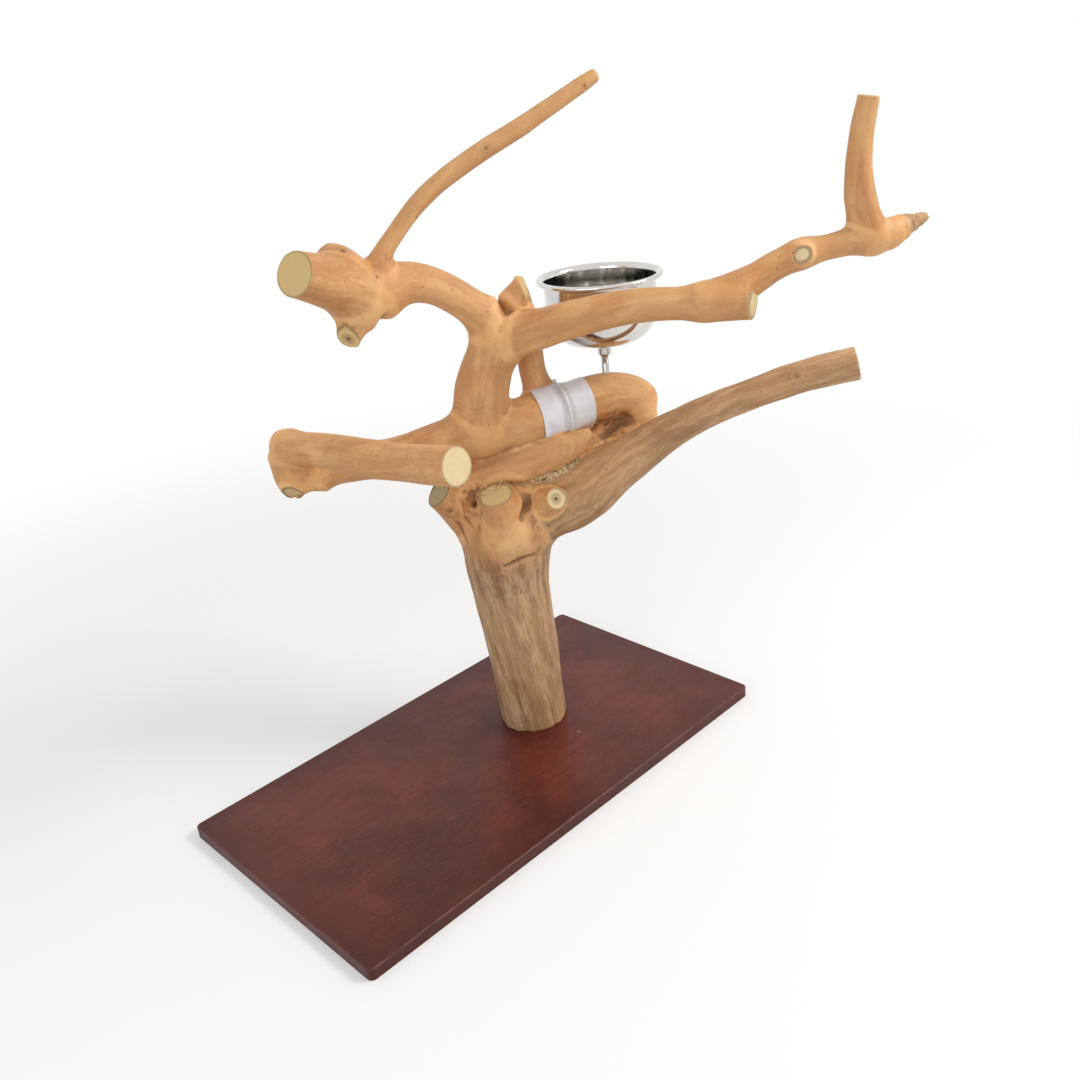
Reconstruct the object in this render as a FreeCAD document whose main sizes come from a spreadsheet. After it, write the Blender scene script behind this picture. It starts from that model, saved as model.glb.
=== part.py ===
import FreeCAD, Part
import os

import Sketcher
from FreeCAD import Vector

# A table-top play stand for a parrot: one natural, many-limbed piece of coffee timber that
# stands on a stained board, with a steel food cup that screws off a post in its crossing limb.
# Millimetres, +Z up. The origin is the middle of the board's underside, X runs along its length.

# ------------------------------------------------------------------ driving dimensions
SIZES = {
    # the board
    "board_length": 560,
    "board_width": 305,
    "board_thick": 13,
    "board_corner": 6,
    "board_arris": 1,
    # where the trunk stands on it, and the screws that hold it from below
    "trunk_x": 85,
    "trunk_y": 12,
    "screw_ring": 20,
    "screw_shank": 5.5,
    "screw_head": 11,
    "screw_head_deep": 3,
    "screw_length": 62,
    "screw_clear": 0.1,
    # the cup, its bolt, the coupling and the post
    "post_shift_x": 5,
    "post_shift_y": 3,
    "post_thick": 7.8,
    "post_depth": 2,
    "post_rise": 40.5,
    "post_clear": 0.1,
    "coupling_thick": 13,
    "coupling_skirt": 3.5,
    "coupling_barrel": 6,
    "bolt_thick": 6,
    "bolt_length": 8,
    "bolt_disc": 24,
    "bolt_disc_thick": 1,
    "bolt_clear": 0.06,
    "bore_spare": 0.5,
    "bowl_width": 116,
    "bowl_height": 73,
    "bowl_round": 24,
    "bowl_wall": 0.9,
    "rim_width": 131,
    "rim_lip": 2.8,
    "rim_fold": 1.8,
    # the paper tag round the crossing limb, its tape and its tie
    "tag_length": 60,
    "tag_gap": 0.3,
    "tag_thick": 0.4,
    "tape_width": 14,
    "tape_thick": 0.3,
    "tie_gap": 0.5,
    "tie_width": 2.6,
    "tie_thick": 1.1,
    "tie_head": 5,
    "tie_head_angle": 118,
    # every limb has this many flats round it, and its corners stand this much prouder than its radius
    "limb_sides": 10,
    "corner_swell": 1.034,
}

# ------------------------------------------------------------------ the timber's limbs
# Each limb springs from a station of another limb, (limb, number counted from 0). Its sections
# are all square to its run, so that every flat of it is plane, and "lean" is the way their first
# axis points. A station gives how far it lies from the spring point in X, Y and Z, and the
# limb's radius there.
LEVEL = (0, 0, 1)
STANDING = (1, 0, 0)
ACROSS = (0.45, 0.9, 0)

LIMBS = {
    "trunk": {
        "spring": None,
        "lean": STANDING,
        "stations": [
            (0, 0, -6, 38.5),
            (-2, 2, 72, 40),
            (-5, 5, 132, 41.5),
            (-7, 7, 182, 44),
            (-8, 4, 220, 47.5),
            (-7, 0, 256, 49),
            (-4, -1, 287, 41),
            (-3, 1, 304, 26),
        ],
    },
    "left_stub": {
        "spring": ("trunk", 5),
        "lean": ACROSS,
        "stations": [(-16, 18, -12, 26), (-39, 27, 16, 23), (-61, 33, 39, 16)],
    },
    "front_stub": {
        "spring": ("trunk", 5),
        "lean": STANDING,
        "stations": [(-12, -4, -38, 24), (-21, -18, 4, 23), (-28, -23, 38, 17.5)],
    },
    "pith_stub": {
        "spring": ("trunk", 5),
        "lean": LEVEL,
        "stations": [(20, -10, -4, 23), (17, -36, 12, 19.5), (9, -61, 29, 16)],
    },
    "wedge_stub": {
        "spring": ("trunk", 5),
        "lean": LEVEL,
        "stations": [
            (-22, 18, 30, 20),
            (11, -6, 49, 20),
            (34, -25, 57, 18.5),
            (57, -45, 65, 14.5),
            (76, -61, 79, 7),
        ],
    },
    "lower_right_branch": {
        "spring": ("trunk", 5),
        "lean": LEVEL,
        "stations": [
            (8, -4, 0, 36),
            (35, -30, 7, 35),
            (58, -56, 18, 33),
            (80, -81, 39, 28),
            (101, -106, 61, 24),
            (122, -133, 83, 20),
            (143, -159, 99, 18),
            (171, -194, 115, 16),
            (197, -228, 129, 16.5),
            (234, -276, 141, 17.5),
        ],
    },
    "crossing_limb": {
        "spring": ("trunk", 5),
        "lean": ACROSS,
        "stations": [
            (-171, 98, 87, 20),
            (-134, 74, 90, 20),
            (-91, 48, 88, 21),
            (-53, 28, 93, 23.5),
            (-14, 9, 98, 25.5),
            (27, -8, 99, 25),
            (70, -25, 102, 25),
            (121, -45, 105, 26),
            (148, -57, 97, 25),
            (165, -65, 88, 17),
        ],
    },
    "crossing_root": {
        "spring": ("trunk", 5),
        "lean": ACROSS,
        "stations": [
            (44, -26, 12, 28),
            (88, -45, 30, 26),
            (124, -57, 48, 23),
            (144, -61, 68, 22),
            (148, -60, 88, 21),
        ],
    },
    "left_knuckle": {
        "spring": ("crossing_limb", 0),
        "lean": STANDING,
        "stations": [(-12, 6, 30, 17), (-7, 4, 8, 25), (-2, -1, -14, 19)],
    },
    "front_left_arm": {
        "spring": ("crossing_limb", 0),
        "lean": LEVEL,
        "stations": [
            (-17, 8, 30, 15),
            (-9, -28, 34, 16.5),
            (3, -75, 32, 18.5),
            (14, -140, 34, 18),
            (20, -214, 43, 18),
        ],
    },
    "upright": {
        "spring": ("crossing_limb", 4),
        "lean": STANDING,
        "stations": [
            (0, 0, 4, 25),
            (3, -3, 35, 28),
            (8, -7, 57, 27),
            (15, -15, 81, 25),
            (22, -23, 101, 25),
            (24, -26, 117, 18),
        ],
    },
    "rear_limb": {
        "spring": ("crossing_limb", 5),
        "lean": STANDING,
        "stations": [
            (31, 2, 3, 15),
            (34, 5, 26, 15),
            (29, 5, 47, 14),
            (24, 2, 70, 14),
            (8, -6, 98, 14),
        ],
    },
    "crotch_stub": {
        "spring": ("upright", 4),
        "lean": STANDING,
        "stations": [(16, -2, 4, 17), (21, -8, 28, 16), (24, -14, 40, 13)],
    },
    "upper_left_arm": {
        "spring": ("upright", 4),
        "lean": ACROSS,
        "stations": [
            (0, 0, -8, 22),
            (-17, 10, 20, 18.5),
            (-36, 19, 40, 17.5),
            (-56, 29, 55, 18),
            (-78, 39, 61, 20),
            (-104, 48, 57, 22.5),
            (-128, 56, 61, 24),
        ],
    },
    "broad_stub": {
        "spring": ("upper_left_arm", 6),
        "lean": ACROSS,
        "stations": [(14, -2, -4, 25), (-23, -11, 17, 22), (-72, -24, 33, 19)],
    },
    "under_stub": {
        "spring": ("upper_left_arm", 6),
        "lean": STANDING,
        "stations": [(3, -5, -8, 21), (-7, -4, -26, 15), (-14, -3, -39, 12.5)],
    },
    "top_knuckle": {
        "spring": ("upper_left_arm", 6),
        "lean": STANDING,
        "stations": [(2, -5, 12, 19), (-9, -2, 29, 16), (-13, -4, 38, 10)],
    },
    "twig_perch": {
        "spring": ("upper_left_arm", 5),
        "lean": ACROSS,
        "stations": [
            (-1, -5, 12, 14),
            (3, -8, 32, 10.6),
            (12, -15, 47, 9.2),
            (38, -33, 78, 9.2),
            (75, -56, 105, 9.3),
            (124, -85, 131, 8.8),
            (174, -115, 160, 7.8),
            (188, -124, 168, 6),
        ],
    },
    "upper_right_arm": {
        "spring": ("upright", 4),
        "lean": LEVEL,
        "stations": [
            (-2, 2, -8, 21),
            (14, -32, 1, 20),
            (31, -63, 10, 19),
            (52, -97, 18, 18),
            (71, -123, 21, 16.5),
            (91, -150, 21, 15.5),
            (109, -174, 20, 16.5),
            (131, -206, 17, 15),
        ],
    },
    "outer_right_branch": {
        "spring": ("upper_right_arm", 6),
        "lean": LEVEL,
        "stations": [
            (0, 4, 2, 14),
            (19, -16, 11, 15.8),
            (33, -29, 19, 14.2),
            (49, -41, 28, 13.8),
            (69, -55, 35, 13),
            (93, -70, 38, 12.3),
            (115, -84, 40, 13),
            (135, -96, 41, 13),
            (150, -105, 44, 10.5),
        ],
    },
    "upright_prong": {
        "spring": ("outer_right_branch", 7),
        "lean": STANDING,
        "stations": [
            (-7, 3, 0, 13),
            (-14, 10, 26, 15.3),
            (-17, 13, 59, 12.8),
            (-18, 12, 87, 11.4),
            (-15, 7, 124, 10),
        ],
    },
    "bark_tip": {
        "spring": ("outer_right_branch", 7),
        "lean": LEVEL,
        "stations": [(12, -7, 3, 7), (24, -14, 7, 8), (36, -21, 10, 7), (46, -26, 14, 5)],
    },
}

# the station of the crossing limb that carries the post, and the one that the tag is wrapped at
POST_STATION = 7
TAG_STATION = 6
SCREW_COUNT = 2
EDGE_BANDS = 2

doc = FreeCAD.newDocument("PlayStand")
sheet = doc.addObject("Spreadsheet::Sheet", "Sizes")


def write_sheet():
    """Writes every driving dimension to the sheet, one row each: its name, and its value."""
    rows = dict(SIZES)
    for limb, plan in LIMBS.items():
        for number, station in enumerate(plan["stations"]):
            for word, value in zip(("x", "y", "z", "radius"), station):
                rows[f"{limb}_{number}_{word}"] = value
    for row, (name, value) in enumerate(rows.items(), start=1):
        sheet.set(f"A{row}", name)
        sheet.set(f"B{row}", str(value))
        sheet.setAlias(f"B{row}", name)
    doc.recompute()


def add(kind, name, **bound):
    """Adds an object of that kind. Each keyword is a property and the expression it is bound to."""
    made = doc.addObject(kind, name)
    for prop, expression in bound.items():
        made.setExpression(prop, expression)
    return made


# ------------------------------------------------------------------ expressions for places
def vector(x, y, z):
    return f"create(<<vector>>; {x}; {y}; {z})"


def placed(at, rotation=None):
    """The expression of a placement at a point, as three expressions, with an optional turn."""
    turn = rotation or f"create(<<rotation>>; {vector(0, 0, 1)}; 0)"
    return f"create(<<placement>>; {vector(*at)}; {turn})"


def station_point(limb, number):
    """Where a station lies: the spring points on the way to it added up, one expression an axis."""
    spring = LIMBS[limb]["spring"]
    if spring is None:
        start = ("Sizes.trunk_x", "Sizes.trunk_y", "Sizes.board_thick")
    else:
        start = station_point(*spring)
    return [f"{s} + Sizes.{limb}_{number}_{axis}" for s, axis in zip(start, "xyz")]


def limb_run(limb):
    """The way the limb runs: from its first station to its last."""
    last = len(LIMBS[limb]["stations"]) - 1
    return [f"Sizes.{limb}_{last}_{axis} - Sizes.{limb}_0_{axis}" for axis in "xyz"]


def section_turn(limb):
    """The turn of all the limb's sections: square to its run, the first axis towards the lean."""
    lean = vector(*LIMBS[limb]["lean"])
    along = vector(*limb_run(limb))
    return f"create(<<rotation>>; {lean}; {vector(0, 0, 0)}; {along}; <<ZXY>>)"


# ------------------------------------------------------------------ shapes used many times
def limb_loft(limb, name, extra=""):
    """A limb hewn through its stations, grown outwards by the extra expression if given."""
    sections = []
    for number in range(len(LIMBS[limb]["stations"])):
        section = add(
            "Part::RegularPolygon",
            f"{name}_section_{number}",
            Polygon="Sizes.limb_sides",
            Circumradius=f"(Sizes.{limb}_{number}_radius{extra}) * Sizes.corner_swell",
            Placement=placed(station_point(limb, number), section_turn(limb)),
        )
        sections.append(section)
    loft = doc.addObject("Part::Loft", name)
    loft.Sections = sections
    loft.Solid = True
    loft.Ruled = True
    return loft


def cylinder(name, radius, height, place):
    return add("Part::Cylinder", name, Radius=radius, Height=height, Placement=place)


def prism(name, radius, height, place):
    """A bar with as many flats as a limb, its corners at that radius."""
    return add(
        "Part::Prism",
        name,
        Polygon="Sizes.limb_sides",
        Circumradius=radius,
        Height=height,
        Placement=place,
    )


def cone(name, radius_low, radius_high, height, place):
    return add(
        "Part::Cone", name, Radius1=radius_low, Radius2=radius_high, Height=height, Placement=place
    )


def fuse(name, *pieces):
    made = doc.addObject("Part::MultiFuse", name)
    made.Shapes = list(pieces)
    return made


def group(name, pieces):
    made = doc.addObject("Part::Compound", name)
    made.Links = list(pieces)
    return made


def cut(name, base, *tools):
    """base less each tool. The last cut carries the name."""
    for number, tool in enumerate(tools):
        made = doc.addObject("Part::Cut", name if tool is tools[-1] else f"{name}_cut_{number}")
        made.Base = base
        made.Tool = tool
        base = made
    return base


# ------------------------------------------------------------------ the board
def board_blank():
    """The board as a body: a centred rectangle, padded, its corners rounded and its arris eased."""
    body = doc.addObject("PartDesign::Body", "board_body")
    plane = next(f for f in body.Origin.OriginFeatures if f.Role == "XY_Plane")
    sketch = body.newObject("Sketcher::SketchObject", "board_outline")
    sketch.AttachmentSupport = (plane, "")
    sketch.MapMode = "FlatFace"
    half_length = SIZES["board_length"] / 2
    half_width = SIZES["board_width"] / 2
    corners = [
        Vector(-half_length, -half_width, 0),
        Vector(half_length, -half_width, 0),
        Vector(half_length, half_width, 0),
        Vector(-half_length, half_width, 0),
    ]
    for number, corner in enumerate(corners):
        sketch.addGeometry(Part.LineSegment(corner, corners[(number + 1) % 4]))
    for number in range(4):
        sketch.addConstraint(Sketcher.Constraint("Coincident", number, 2, (number + 1) % 4, 1))
        side = "Horizontal" if number % 2 == 0 else "Vertical"
        sketch.addConstraint(Sketcher.Constraint(side, number))
    sketch.addConstraint(Sketcher.Constraint("Symmetric", 0, 1, 1, 2, -1, 1))
    length = sketch.addConstraint(Sketcher.Constraint("DistanceX", 0, 1, 0, 2, 2 * half_length))
    width = sketch.addConstraint(Sketcher.Constraint("DistanceY", 1, 1, 1, 2, 2 * half_width))
    sketch.setExpression(f"Constraints[{length}]", "Sizes.board_length")
    sketch.setExpression(f"Constraints[{width}]", "Sizes.board_width")
    pad = body.newObject("PartDesign::Pad", "board_pad")
    pad.Profile = sketch
    pad.setExpression("Length", "Sizes.board_thick")
    body.recompute(True)
    rounded = body.newObject("PartDesign::Fillet", "board_corners")
    rounded.Base = (pad, [name for name, edge in edges_of(pad) if is_upright(edge)])
    rounded.setExpression("Radius", "Sizes.board_corner")
    rounded.recompute()
    eased = body.newObject("PartDesign::Chamfer", "board_eased")
    eased.Base = (rounded, [name for name, edge in edges_of(rounded) if is_on_top(edge)])
    eased.setExpression("Size", "Sizes.board_arris")
    body.Tip = eased
    return body


def edges_of(feature):
    return [(f"Edge{number}", edge) for number, edge in enumerate(feature.Shape.Edges, start=1)]


def is_upright(edge):
    low, high = edge.BoundBox.ZMin, edge.BoundBox.ZMax
    return high - low > SIZES["board_thick"] / 2


def is_on_top(edge):
    return edge.BoundBox.ZMin > SIZES["board_thick"] * 0.99


def screw_place(number):
    """One of the screws that stand in a ring round the middle of the trunk's foot."""
    turn = f"{360 / SCREW_COUNT} * {number} + 45"
    at = (
        f"Sizes.trunk_x + Sizes.screw_ring * cos({turn})",
        f"Sizes.trunk_y + Sizes.screw_ring * sin({turn})",
        "0",
    )
    return placed(at)


def foot_screw(number, name, clearance=""):
    """A countersunk wood screw, head down, with a clearance all round if one is given."""
    shank = f"Sizes.screw_shank / 2{clearance}"
    head = cone(
        f"{name}_head_{number}",
        f"Sizes.screw_head / 2{clearance}",
        shank,
        "Sizes.screw_head_deep",
        screw_place(number),
    )
    stem = cylinder(f"{name}_stem_{number}", shank, "Sizes.screw_length", screw_place(number))
    return fuse(f"{name}_{number}", head, stem)


# ------------------------------------------------------------------ the cup and its post
def cup_axis(rise):
    """A point on the cup's axis, that far above the middle of the limb that carries the post."""
    x, y, z = station_point("crossing_limb", POST_STATION)
    return placed((f"{x} + Sizes.post_shift_x", f"{y} + Sizes.post_shift_y", f"{z} + {rise}"))


SKIRT_FOOT = "Sizes.post_rise"
BARREL_FOOT = f"{SKIRT_FOOT} + Sizes.coupling_skirt"
BARREL_TOP = f"{BARREL_FOOT} + Sizes.coupling_barrel"
BOWL_FOOT = f"{BARREL_TOP} + Sizes.bolt_disc_thick"


def post(name, clearance=""):
    """The post: a plain rod from inside the limb up to the coupling."""
    return cylinder(
        name,
        f"Sizes.post_thick / 2{clearance}",
        "Sizes.post_rise - Sizes.post_depth",
        cup_axis("Sizes.post_depth"),
    )


def coupling():
    """The round coupling on the post: a tapered skirt, a barrel and a blind bore for the bolt."""
    skirt = cone(
        "coupling_taper",
        "Sizes.post_thick / 2",
        "Sizes.coupling_thick / 2",
        "Sizes.coupling_skirt",
        cup_axis(SKIRT_FOOT),
    )
    barrel = cylinder(
        "coupling_round", "Sizes.coupling_thick / 2", "Sizes.coupling_barrel", cup_axis(BARREL_FOOT)
    )
    bore = cylinder(
        "coupling_bore",
        "Sizes.bolt_thick / 2 + Sizes.bolt_clear",
        "Sizes.bolt_length + Sizes.bore_spare + 1",
        cup_axis(f"{BARREL_TOP} - Sizes.bolt_length - Sizes.bore_spare"),
    )
    return cut("cup_coupling", fuse("coupling_blank", skirt, barrel), bore)


def cup_bolt():
    """The bolt under the cup: a thin disc, welded to the cup's bottom, and a threaded stem."""
    disc = cylinder(
        "bolt_plate", "Sizes.bolt_disc / 2", "Sizes.bolt_disc_thick", cup_axis(BARREL_TOP)
    )
    stem = cylinder(
        "bolt_stem",
        "Sizes.bolt_thick / 2",
        "Sizes.bolt_length",
        cup_axis(f"{BARREL_TOP} - Sizes.bolt_length"),
    )
    return fuse("cup_bolt", disc, stem)


def rounded_can(name, radius, height, rounding, rise):
    """A can whose lower edge is turned in, in a few bands: the bowl's outside or its hollow."""
    bands = []
    for number in range(EDGE_BANDS):
        low = f"{90 / EDGE_BANDS * number}"
        high = f"{90 / EDGE_BANDS * (number + 1)}"
        bands.append(
            cone(
                f"{name}_band_{number}",
                f"{radius} - {rounding} * (1 - sin({low}))",
                f"{radius} - {rounding} * (1 - sin({high}))",
                f"{rounding} * (cos({low}) - cos({high}))",
                cup_axis(f"{rise} + {rounding} * (1 - cos({low}))"),
            )
        )
    side = cylinder(
        f"{name}_side", radius, f"{height} - {rounding}", cup_axis(f"{rise} + {rounding}")
    )
    return fuse(name, side, *bands)


def cup_bowl():
    """The spun steel bowl: a straight wall, a round lower edge, and a flange with a lip."""
    flange_foot = f"{BOWL_FOOT} + Sizes.bowl_height - Sizes.bowl_wall"
    outside = rounded_can(
        "bowl_outside", "Sizes.bowl_width / 2", "Sizes.bowl_height", "Sizes.bowl_round", BOWL_FOOT
    )
    hollow = rounded_can(
        "bowl_hollow",
        "(Sizes.bowl_width / 2 - Sizes.bowl_wall)",
        "Sizes.bowl_height",
        "(Sizes.bowl_round - Sizes.bowl_wall)",
        f"{BOWL_FOOT} + Sizes.bowl_wall",
    )
    flange = cylinder(
        "bowl_flange", "Sizes.rim_width / 2", "Sizes.bowl_wall", cup_axis(flange_foot)
    )
    lip_round = cylinder(
        "bowl_lip_round",
        "Sizes.rim_width / 2",
        "Sizes.rim_lip",
        cup_axis(f"{BOWL_FOOT} + Sizes.bowl_height - Sizes.rim_lip"),
    )
    lip_inside = cylinder(
        "bowl_lip_inside",
        "Sizes.rim_width / 2 - Sizes.rim_fold",
        "Sizes.rim_lip",
        cup_axis(f"{BOWL_FOOT} + Sizes.bowl_height - Sizes.rim_lip"),
    )
    lip = cut("bowl_lip", lip_round, lip_inside)
    return cut("cup_bowl", fuse("bowl_blank", outside, flange, lip), hollow)


# ------------------------------------------------------------------ the tag on the limb
def tag_layer(name, inner, outer, width, beside, inner_loft=None):
    """A sleeve that follows the crossing limb, so long, between two distances off its bark, and
    notched round what stands beside that limb."""
    middle = station_point("crossing_limb", TAG_STATION)
    turn = section_turn("crossing_limb")
    wide = limb_loft("crossing_limb", f"{name}_outer", f" + {outer}")
    narrow = inner_loft or limb_loft("crossing_limb", f"{name}_inner", f" + {inner}")
    slab = cylinder(
        f"{name}_slab",
        f"Sizes.crossing_limb_{TAG_STATION}_radius * 1.6",
        width,
        f"{placed(middle, turn)} * {placed((0, 0, f'-{width} / 2'))}",
    )
    slice_of_limb = doc.addObject("Part::Common", f"{name}_slice")
    slice_of_limb.Base = wide
    slice_of_limb.Tool = slab
    return cut(name, slice_of_limb, narrow, *beside), wide


TAG_OUT = "(Sizes.tag_gap + Sizes.tag_thick)"
TAPE_OUT = f"({TAG_OUT} + Sizes.tape_thick)"


def cable_tie():
    """A thin strap round the middle of the tag, with its square head on the upper side."""
    middle = placed(station_point("crossing_limb", TAG_STATION), section_turn("crossing_limb"))
    wrapped = f"(Sizes.crossing_limb_{TAG_STATION}_radius + {TAPE_OUT}) * Sizes.corner_swell"
    inside = f"({wrapped} + Sizes.tie_gap)"
    lowered = f"{middle} * {placed((0, 0, '-Sizes.tie_width / 2'))}"
    strap = prism("tie_strap", f"{inside} + Sizes.tie_thick", "Sizes.tie_width", lowered)
    head = add(
        "Part::Box",
        "tie_block",
        Length="Sizes.tie_head",
        Width="Sizes.tie_head",
        Height="Sizes.tie_head",
        Placement=f"{middle} * {placed((0, 0, 0), turn_about_z('Sizes.tie_head_angle'))}"
        f" * {placed((inside, '-Sizes.tie_head / 2', '-Sizes.tie_head / 2'))}",
    )
    hole_place = f"{middle} * {placed((0, 0, '-Sizes.tie_head'))}"
    hole = prism("tie_inside", inside, "Sizes.tie_head * 2", hole_place)
    return cut("cable_tie", fuse("tie_blank", strap, head), hole)


def turn_about_z(angle):
    return f"create(<<rotation>>; {vector(0, 0, 1)}; {angle})"


# ------------------------------------------------------------------ building
def build():
    """Makes every piece. Returns the finished ones by the name of their node."""
    screws = [foot_screw(number, "screw") for number in range(SCREW_COUNT)]
    holes = group(
        "screw_holes",
        [foot_screw(n, "screw_hole", " + Sizes.screw_clear") for n in range(SCREW_COUNT)],
    )
    board = board_blank()
    pieces = {
        "base_board": cut("base_board", board, holes),
        "foot_screws": group("foot_screws", screws),
    }

    stump = fuse(
        "trunk_blank",
        limb_loft("trunk", "trunk_loft"),
        limb_loft("left_stub", "left_stub_loft"),
        limb_loft("front_stub", "front_stub_loft"),
        limb_loft("pith_stub", "pith_stub_loft"),
    )
    trunk = cut("trunk", stump, board, holes)
    lower_right = cut(
        "lower_right_branch", limb_loft("lower_right_branch", "lower_right_loft"), stump
    )
    wedge = cut("wedge_stub", limb_loft("wedge_stub", "wedge_loft"), stump, lower_right)
    crossing_blank = fuse(
        "crossing_blank",
        limb_loft("crossing_limb", "crossing_loft"),
        limb_loft("left_knuckle", "left_knuckle_loft"),
    )
    post_bore = post("post_bore", " + Sizes.post_clear")
    crossing = cut("crossing_limb", crossing_blank, stump, lower_right, wedge, post_bore)
    root_blank = limb_loft("crossing_root", "crossing_root_loft")
    root = cut("crossing_root", root_blank, stump, lower_right, wedge, crossing_blank)
    front_left = cut(
        "front_left_arm", limb_loft("front_left_arm", "front_left_loft"), crossing_blank
    )
    upright_blank = limb_loft("upright", "upright_loft")
    upright = cut("upright", upright_blank, crossing_blank)
    rear = cut("rear_limb", limb_loft("rear_limb", "rear_loft"), crossing_blank, upright_blank)
    left_blank = fuse(
        "upper_left_blank",
        limb_loft("upper_left_arm", "upper_left_loft"),
        limb_loft("broad_stub", "broad_stub_loft"),
        limb_loft("under_stub", "under_stub_loft"),
        limb_loft("top_knuckle", "top_knuckle_loft"),
    )
    upper_left = cut("upper_left_arm", left_blank, upright_blank, rear)
    right_blank = limb_loft("upper_right_arm", "upper_right_loft")
    upper_right = cut("upper_right_arm", right_blank, upright_blank, upper_left, rear)
    crotch = cut(
        "crotch_stub",
        limb_loft("crotch_stub", "crotch_loft"),
        upright_blank,
        rear,
        upper_left,
        upper_right,
    )
    twig = cut("twig_perch", limb_loft("twig_perch", "twig_loft"), left_blank)
    outer_blank = limb_loft("outer_right_branch", "outer_loft")
    outer = cut("outer_right_branch", outer_blank, right_blank)
    prong_blank = limb_loft("upright_prong", "prong_loft")
    prong = cut("upright_prong", prong_blank, outer_blank)
    bark = cut("bark_tip", limb_loft("bark_tip", "bark_loft"), outer_blank, prong_blank)
    for piece in (
        trunk,
        lower_right,
        wedge,
        crossing,
        root,
        front_left,
        upright,
        rear,
        upper_left,
        upper_right,
        crotch,
        twig,
        outer,
        prong,
        bark,
    ):
        pieces[piece.Name] = piece

    pieces["cup_post"] = post("cup_post")
    pieces["cup_coupling"] = coupling()
    pieces["cup_bolt"] = cup_bolt()
    pieces["cup_bowl"] = cup_bowl()

    beside = [
        limb_loft(limb, f"tag_beside_{limb}", " + Sizes.tag_gap")
        for limb in ("rear_limb", "wedge_stub")
    ]
    tag, tag_outer = tag_layer("paper_tag", "Sizes.tag_gap", TAG_OUT, "Sizes.tag_length", beside)
    pieces["paper_tag"] = tag
    tape, _ = tag_layer("tag_tape", TAG_OUT, TAPE_OUT, "Sizes.tape_width", beside, tag_outer)
    pieces["tag_tape"] = tape
    pieces["cable_tie"] = cable_tie()
    return pieces


def check_and_write(pieces):
    """Stops on any failed object or bad shape, then writes one file for each node."""
    doc.recompute()
    failed = [o.Name for o in doc.Objects if "Invalid" in o.State or "Error" in o.State]
    if failed:
        raise RuntimeError(f"these objects failed: {failed}")
    for node, piece in pieces.items():
        shape = piece.Shape
        if shape.isNull() or not shape.isValid() or not shape.Solids:
            raise RuntimeError(f"{node} has no valid solid")
    os.makedirs("parts", exist_ok=True)
    for node, piece in pieces.items():
        piece.Label = node
        shape = piece.Shape
        print(f"{node}: {len(shape.Solids)} solid(s), {shape.Volume / 1000:.2f} cm3")
        shape.exportStep(f"parts/{node}.step")


write_sheet()
check_and_write(build())
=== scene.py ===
"""Looks for a table-top parrot play stand: grown timber on a stained board, with a steel cup.

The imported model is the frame. Everything is in metres, +Z up, and stands where the frame says.
"""

import logging
import math
from dataclasses import dataclass, field
from enum import Enum

import bmesh
import bpy
import numpy as np
from mathutils import Matrix, Vector


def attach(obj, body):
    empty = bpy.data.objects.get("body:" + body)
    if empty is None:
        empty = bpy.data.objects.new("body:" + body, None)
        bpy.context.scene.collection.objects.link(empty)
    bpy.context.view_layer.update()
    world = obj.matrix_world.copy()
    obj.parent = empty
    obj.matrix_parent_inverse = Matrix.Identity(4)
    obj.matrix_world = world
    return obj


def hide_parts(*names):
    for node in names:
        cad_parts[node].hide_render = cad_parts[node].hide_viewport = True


LOG = logging.getLogger("play_stand")
MM = 0.001
PITCH = 0.001

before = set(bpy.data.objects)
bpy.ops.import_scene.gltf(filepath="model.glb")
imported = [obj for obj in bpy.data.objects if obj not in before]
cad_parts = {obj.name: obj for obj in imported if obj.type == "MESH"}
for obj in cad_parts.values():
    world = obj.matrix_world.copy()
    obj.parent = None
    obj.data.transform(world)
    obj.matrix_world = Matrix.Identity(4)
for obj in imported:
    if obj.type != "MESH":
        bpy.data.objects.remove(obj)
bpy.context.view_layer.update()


# ------------------------------------------------------------------ small tools
def deselect() -> None:
    """Leave nothing selected and be in object mode."""
    if bpy.context.object is not None and bpy.context.object.mode != "OBJECT":
        bpy.ops.object.mode_set(mode="OBJECT")
    bpy.ops.object.select_all(action="DESELECT")


def choose(*pieces: bpy.types.Object) -> None:
    """Select these pieces alone, the last one active.

    Args:
        pieces: the objects to select.
    """
    deselect()
    for piece in pieces:
        piece.select_set(True)
    bpy.context.view_layer.objects.active = pieces[-1]


def settle(piece: bpy.types.Object, name: str) -> bpy.types.Object:
    """Name a piece and put its place into its mesh.

    Args:
        piece: the object to settle.
        name: its new name.

    Returns:
        The same object, at the origin, unturned and unscaled.
    """
    piece.name = name
    piece.data.name = name
    choose(piece)
    bpy.ops.object.transform_apply(location=True, rotation=True, scale=True)
    return piece


def face_outwards(piece: bpy.types.Object, merge: float = 1e-6) -> None:
    """Merge doubles and turn every face outwards.

    Args:
        piece: the mesh object.
        merge: how close two points are to be one.
    """
    choose(piece)
    bpy.ops.object.mode_set(mode="EDIT")
    bpy.ops.mesh.select_all(action="SELECT")
    bpy.ops.mesh.remove_doubles(threshold=merge)
    bpy.ops.mesh.normals_make_consistent(inside=False)
    bpy.ops.object.mode_set(mode="OBJECT")


def apply_all(piece: bpy.types.Object) -> None:
    """Apply every modifier of a piece, in order."""
    choose(piece)
    for modifier in list(piece.modifiers):
        bpy.ops.object.modifier_apply(modifier=modifier.name)


def modify(piece: bpy.types.Object, kind: str, **settings: object) -> None:
    """Give a piece a modifier, which apply_all applies.

    Args:
        piece: the mesh object.
        kind: the modifier's type name.
        settings: property names and their values.
    """
    made = piece.modifiers.new(kind.lower(), kind)
    for name, value in settings.items():
        setattr(made, name, value)


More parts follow.
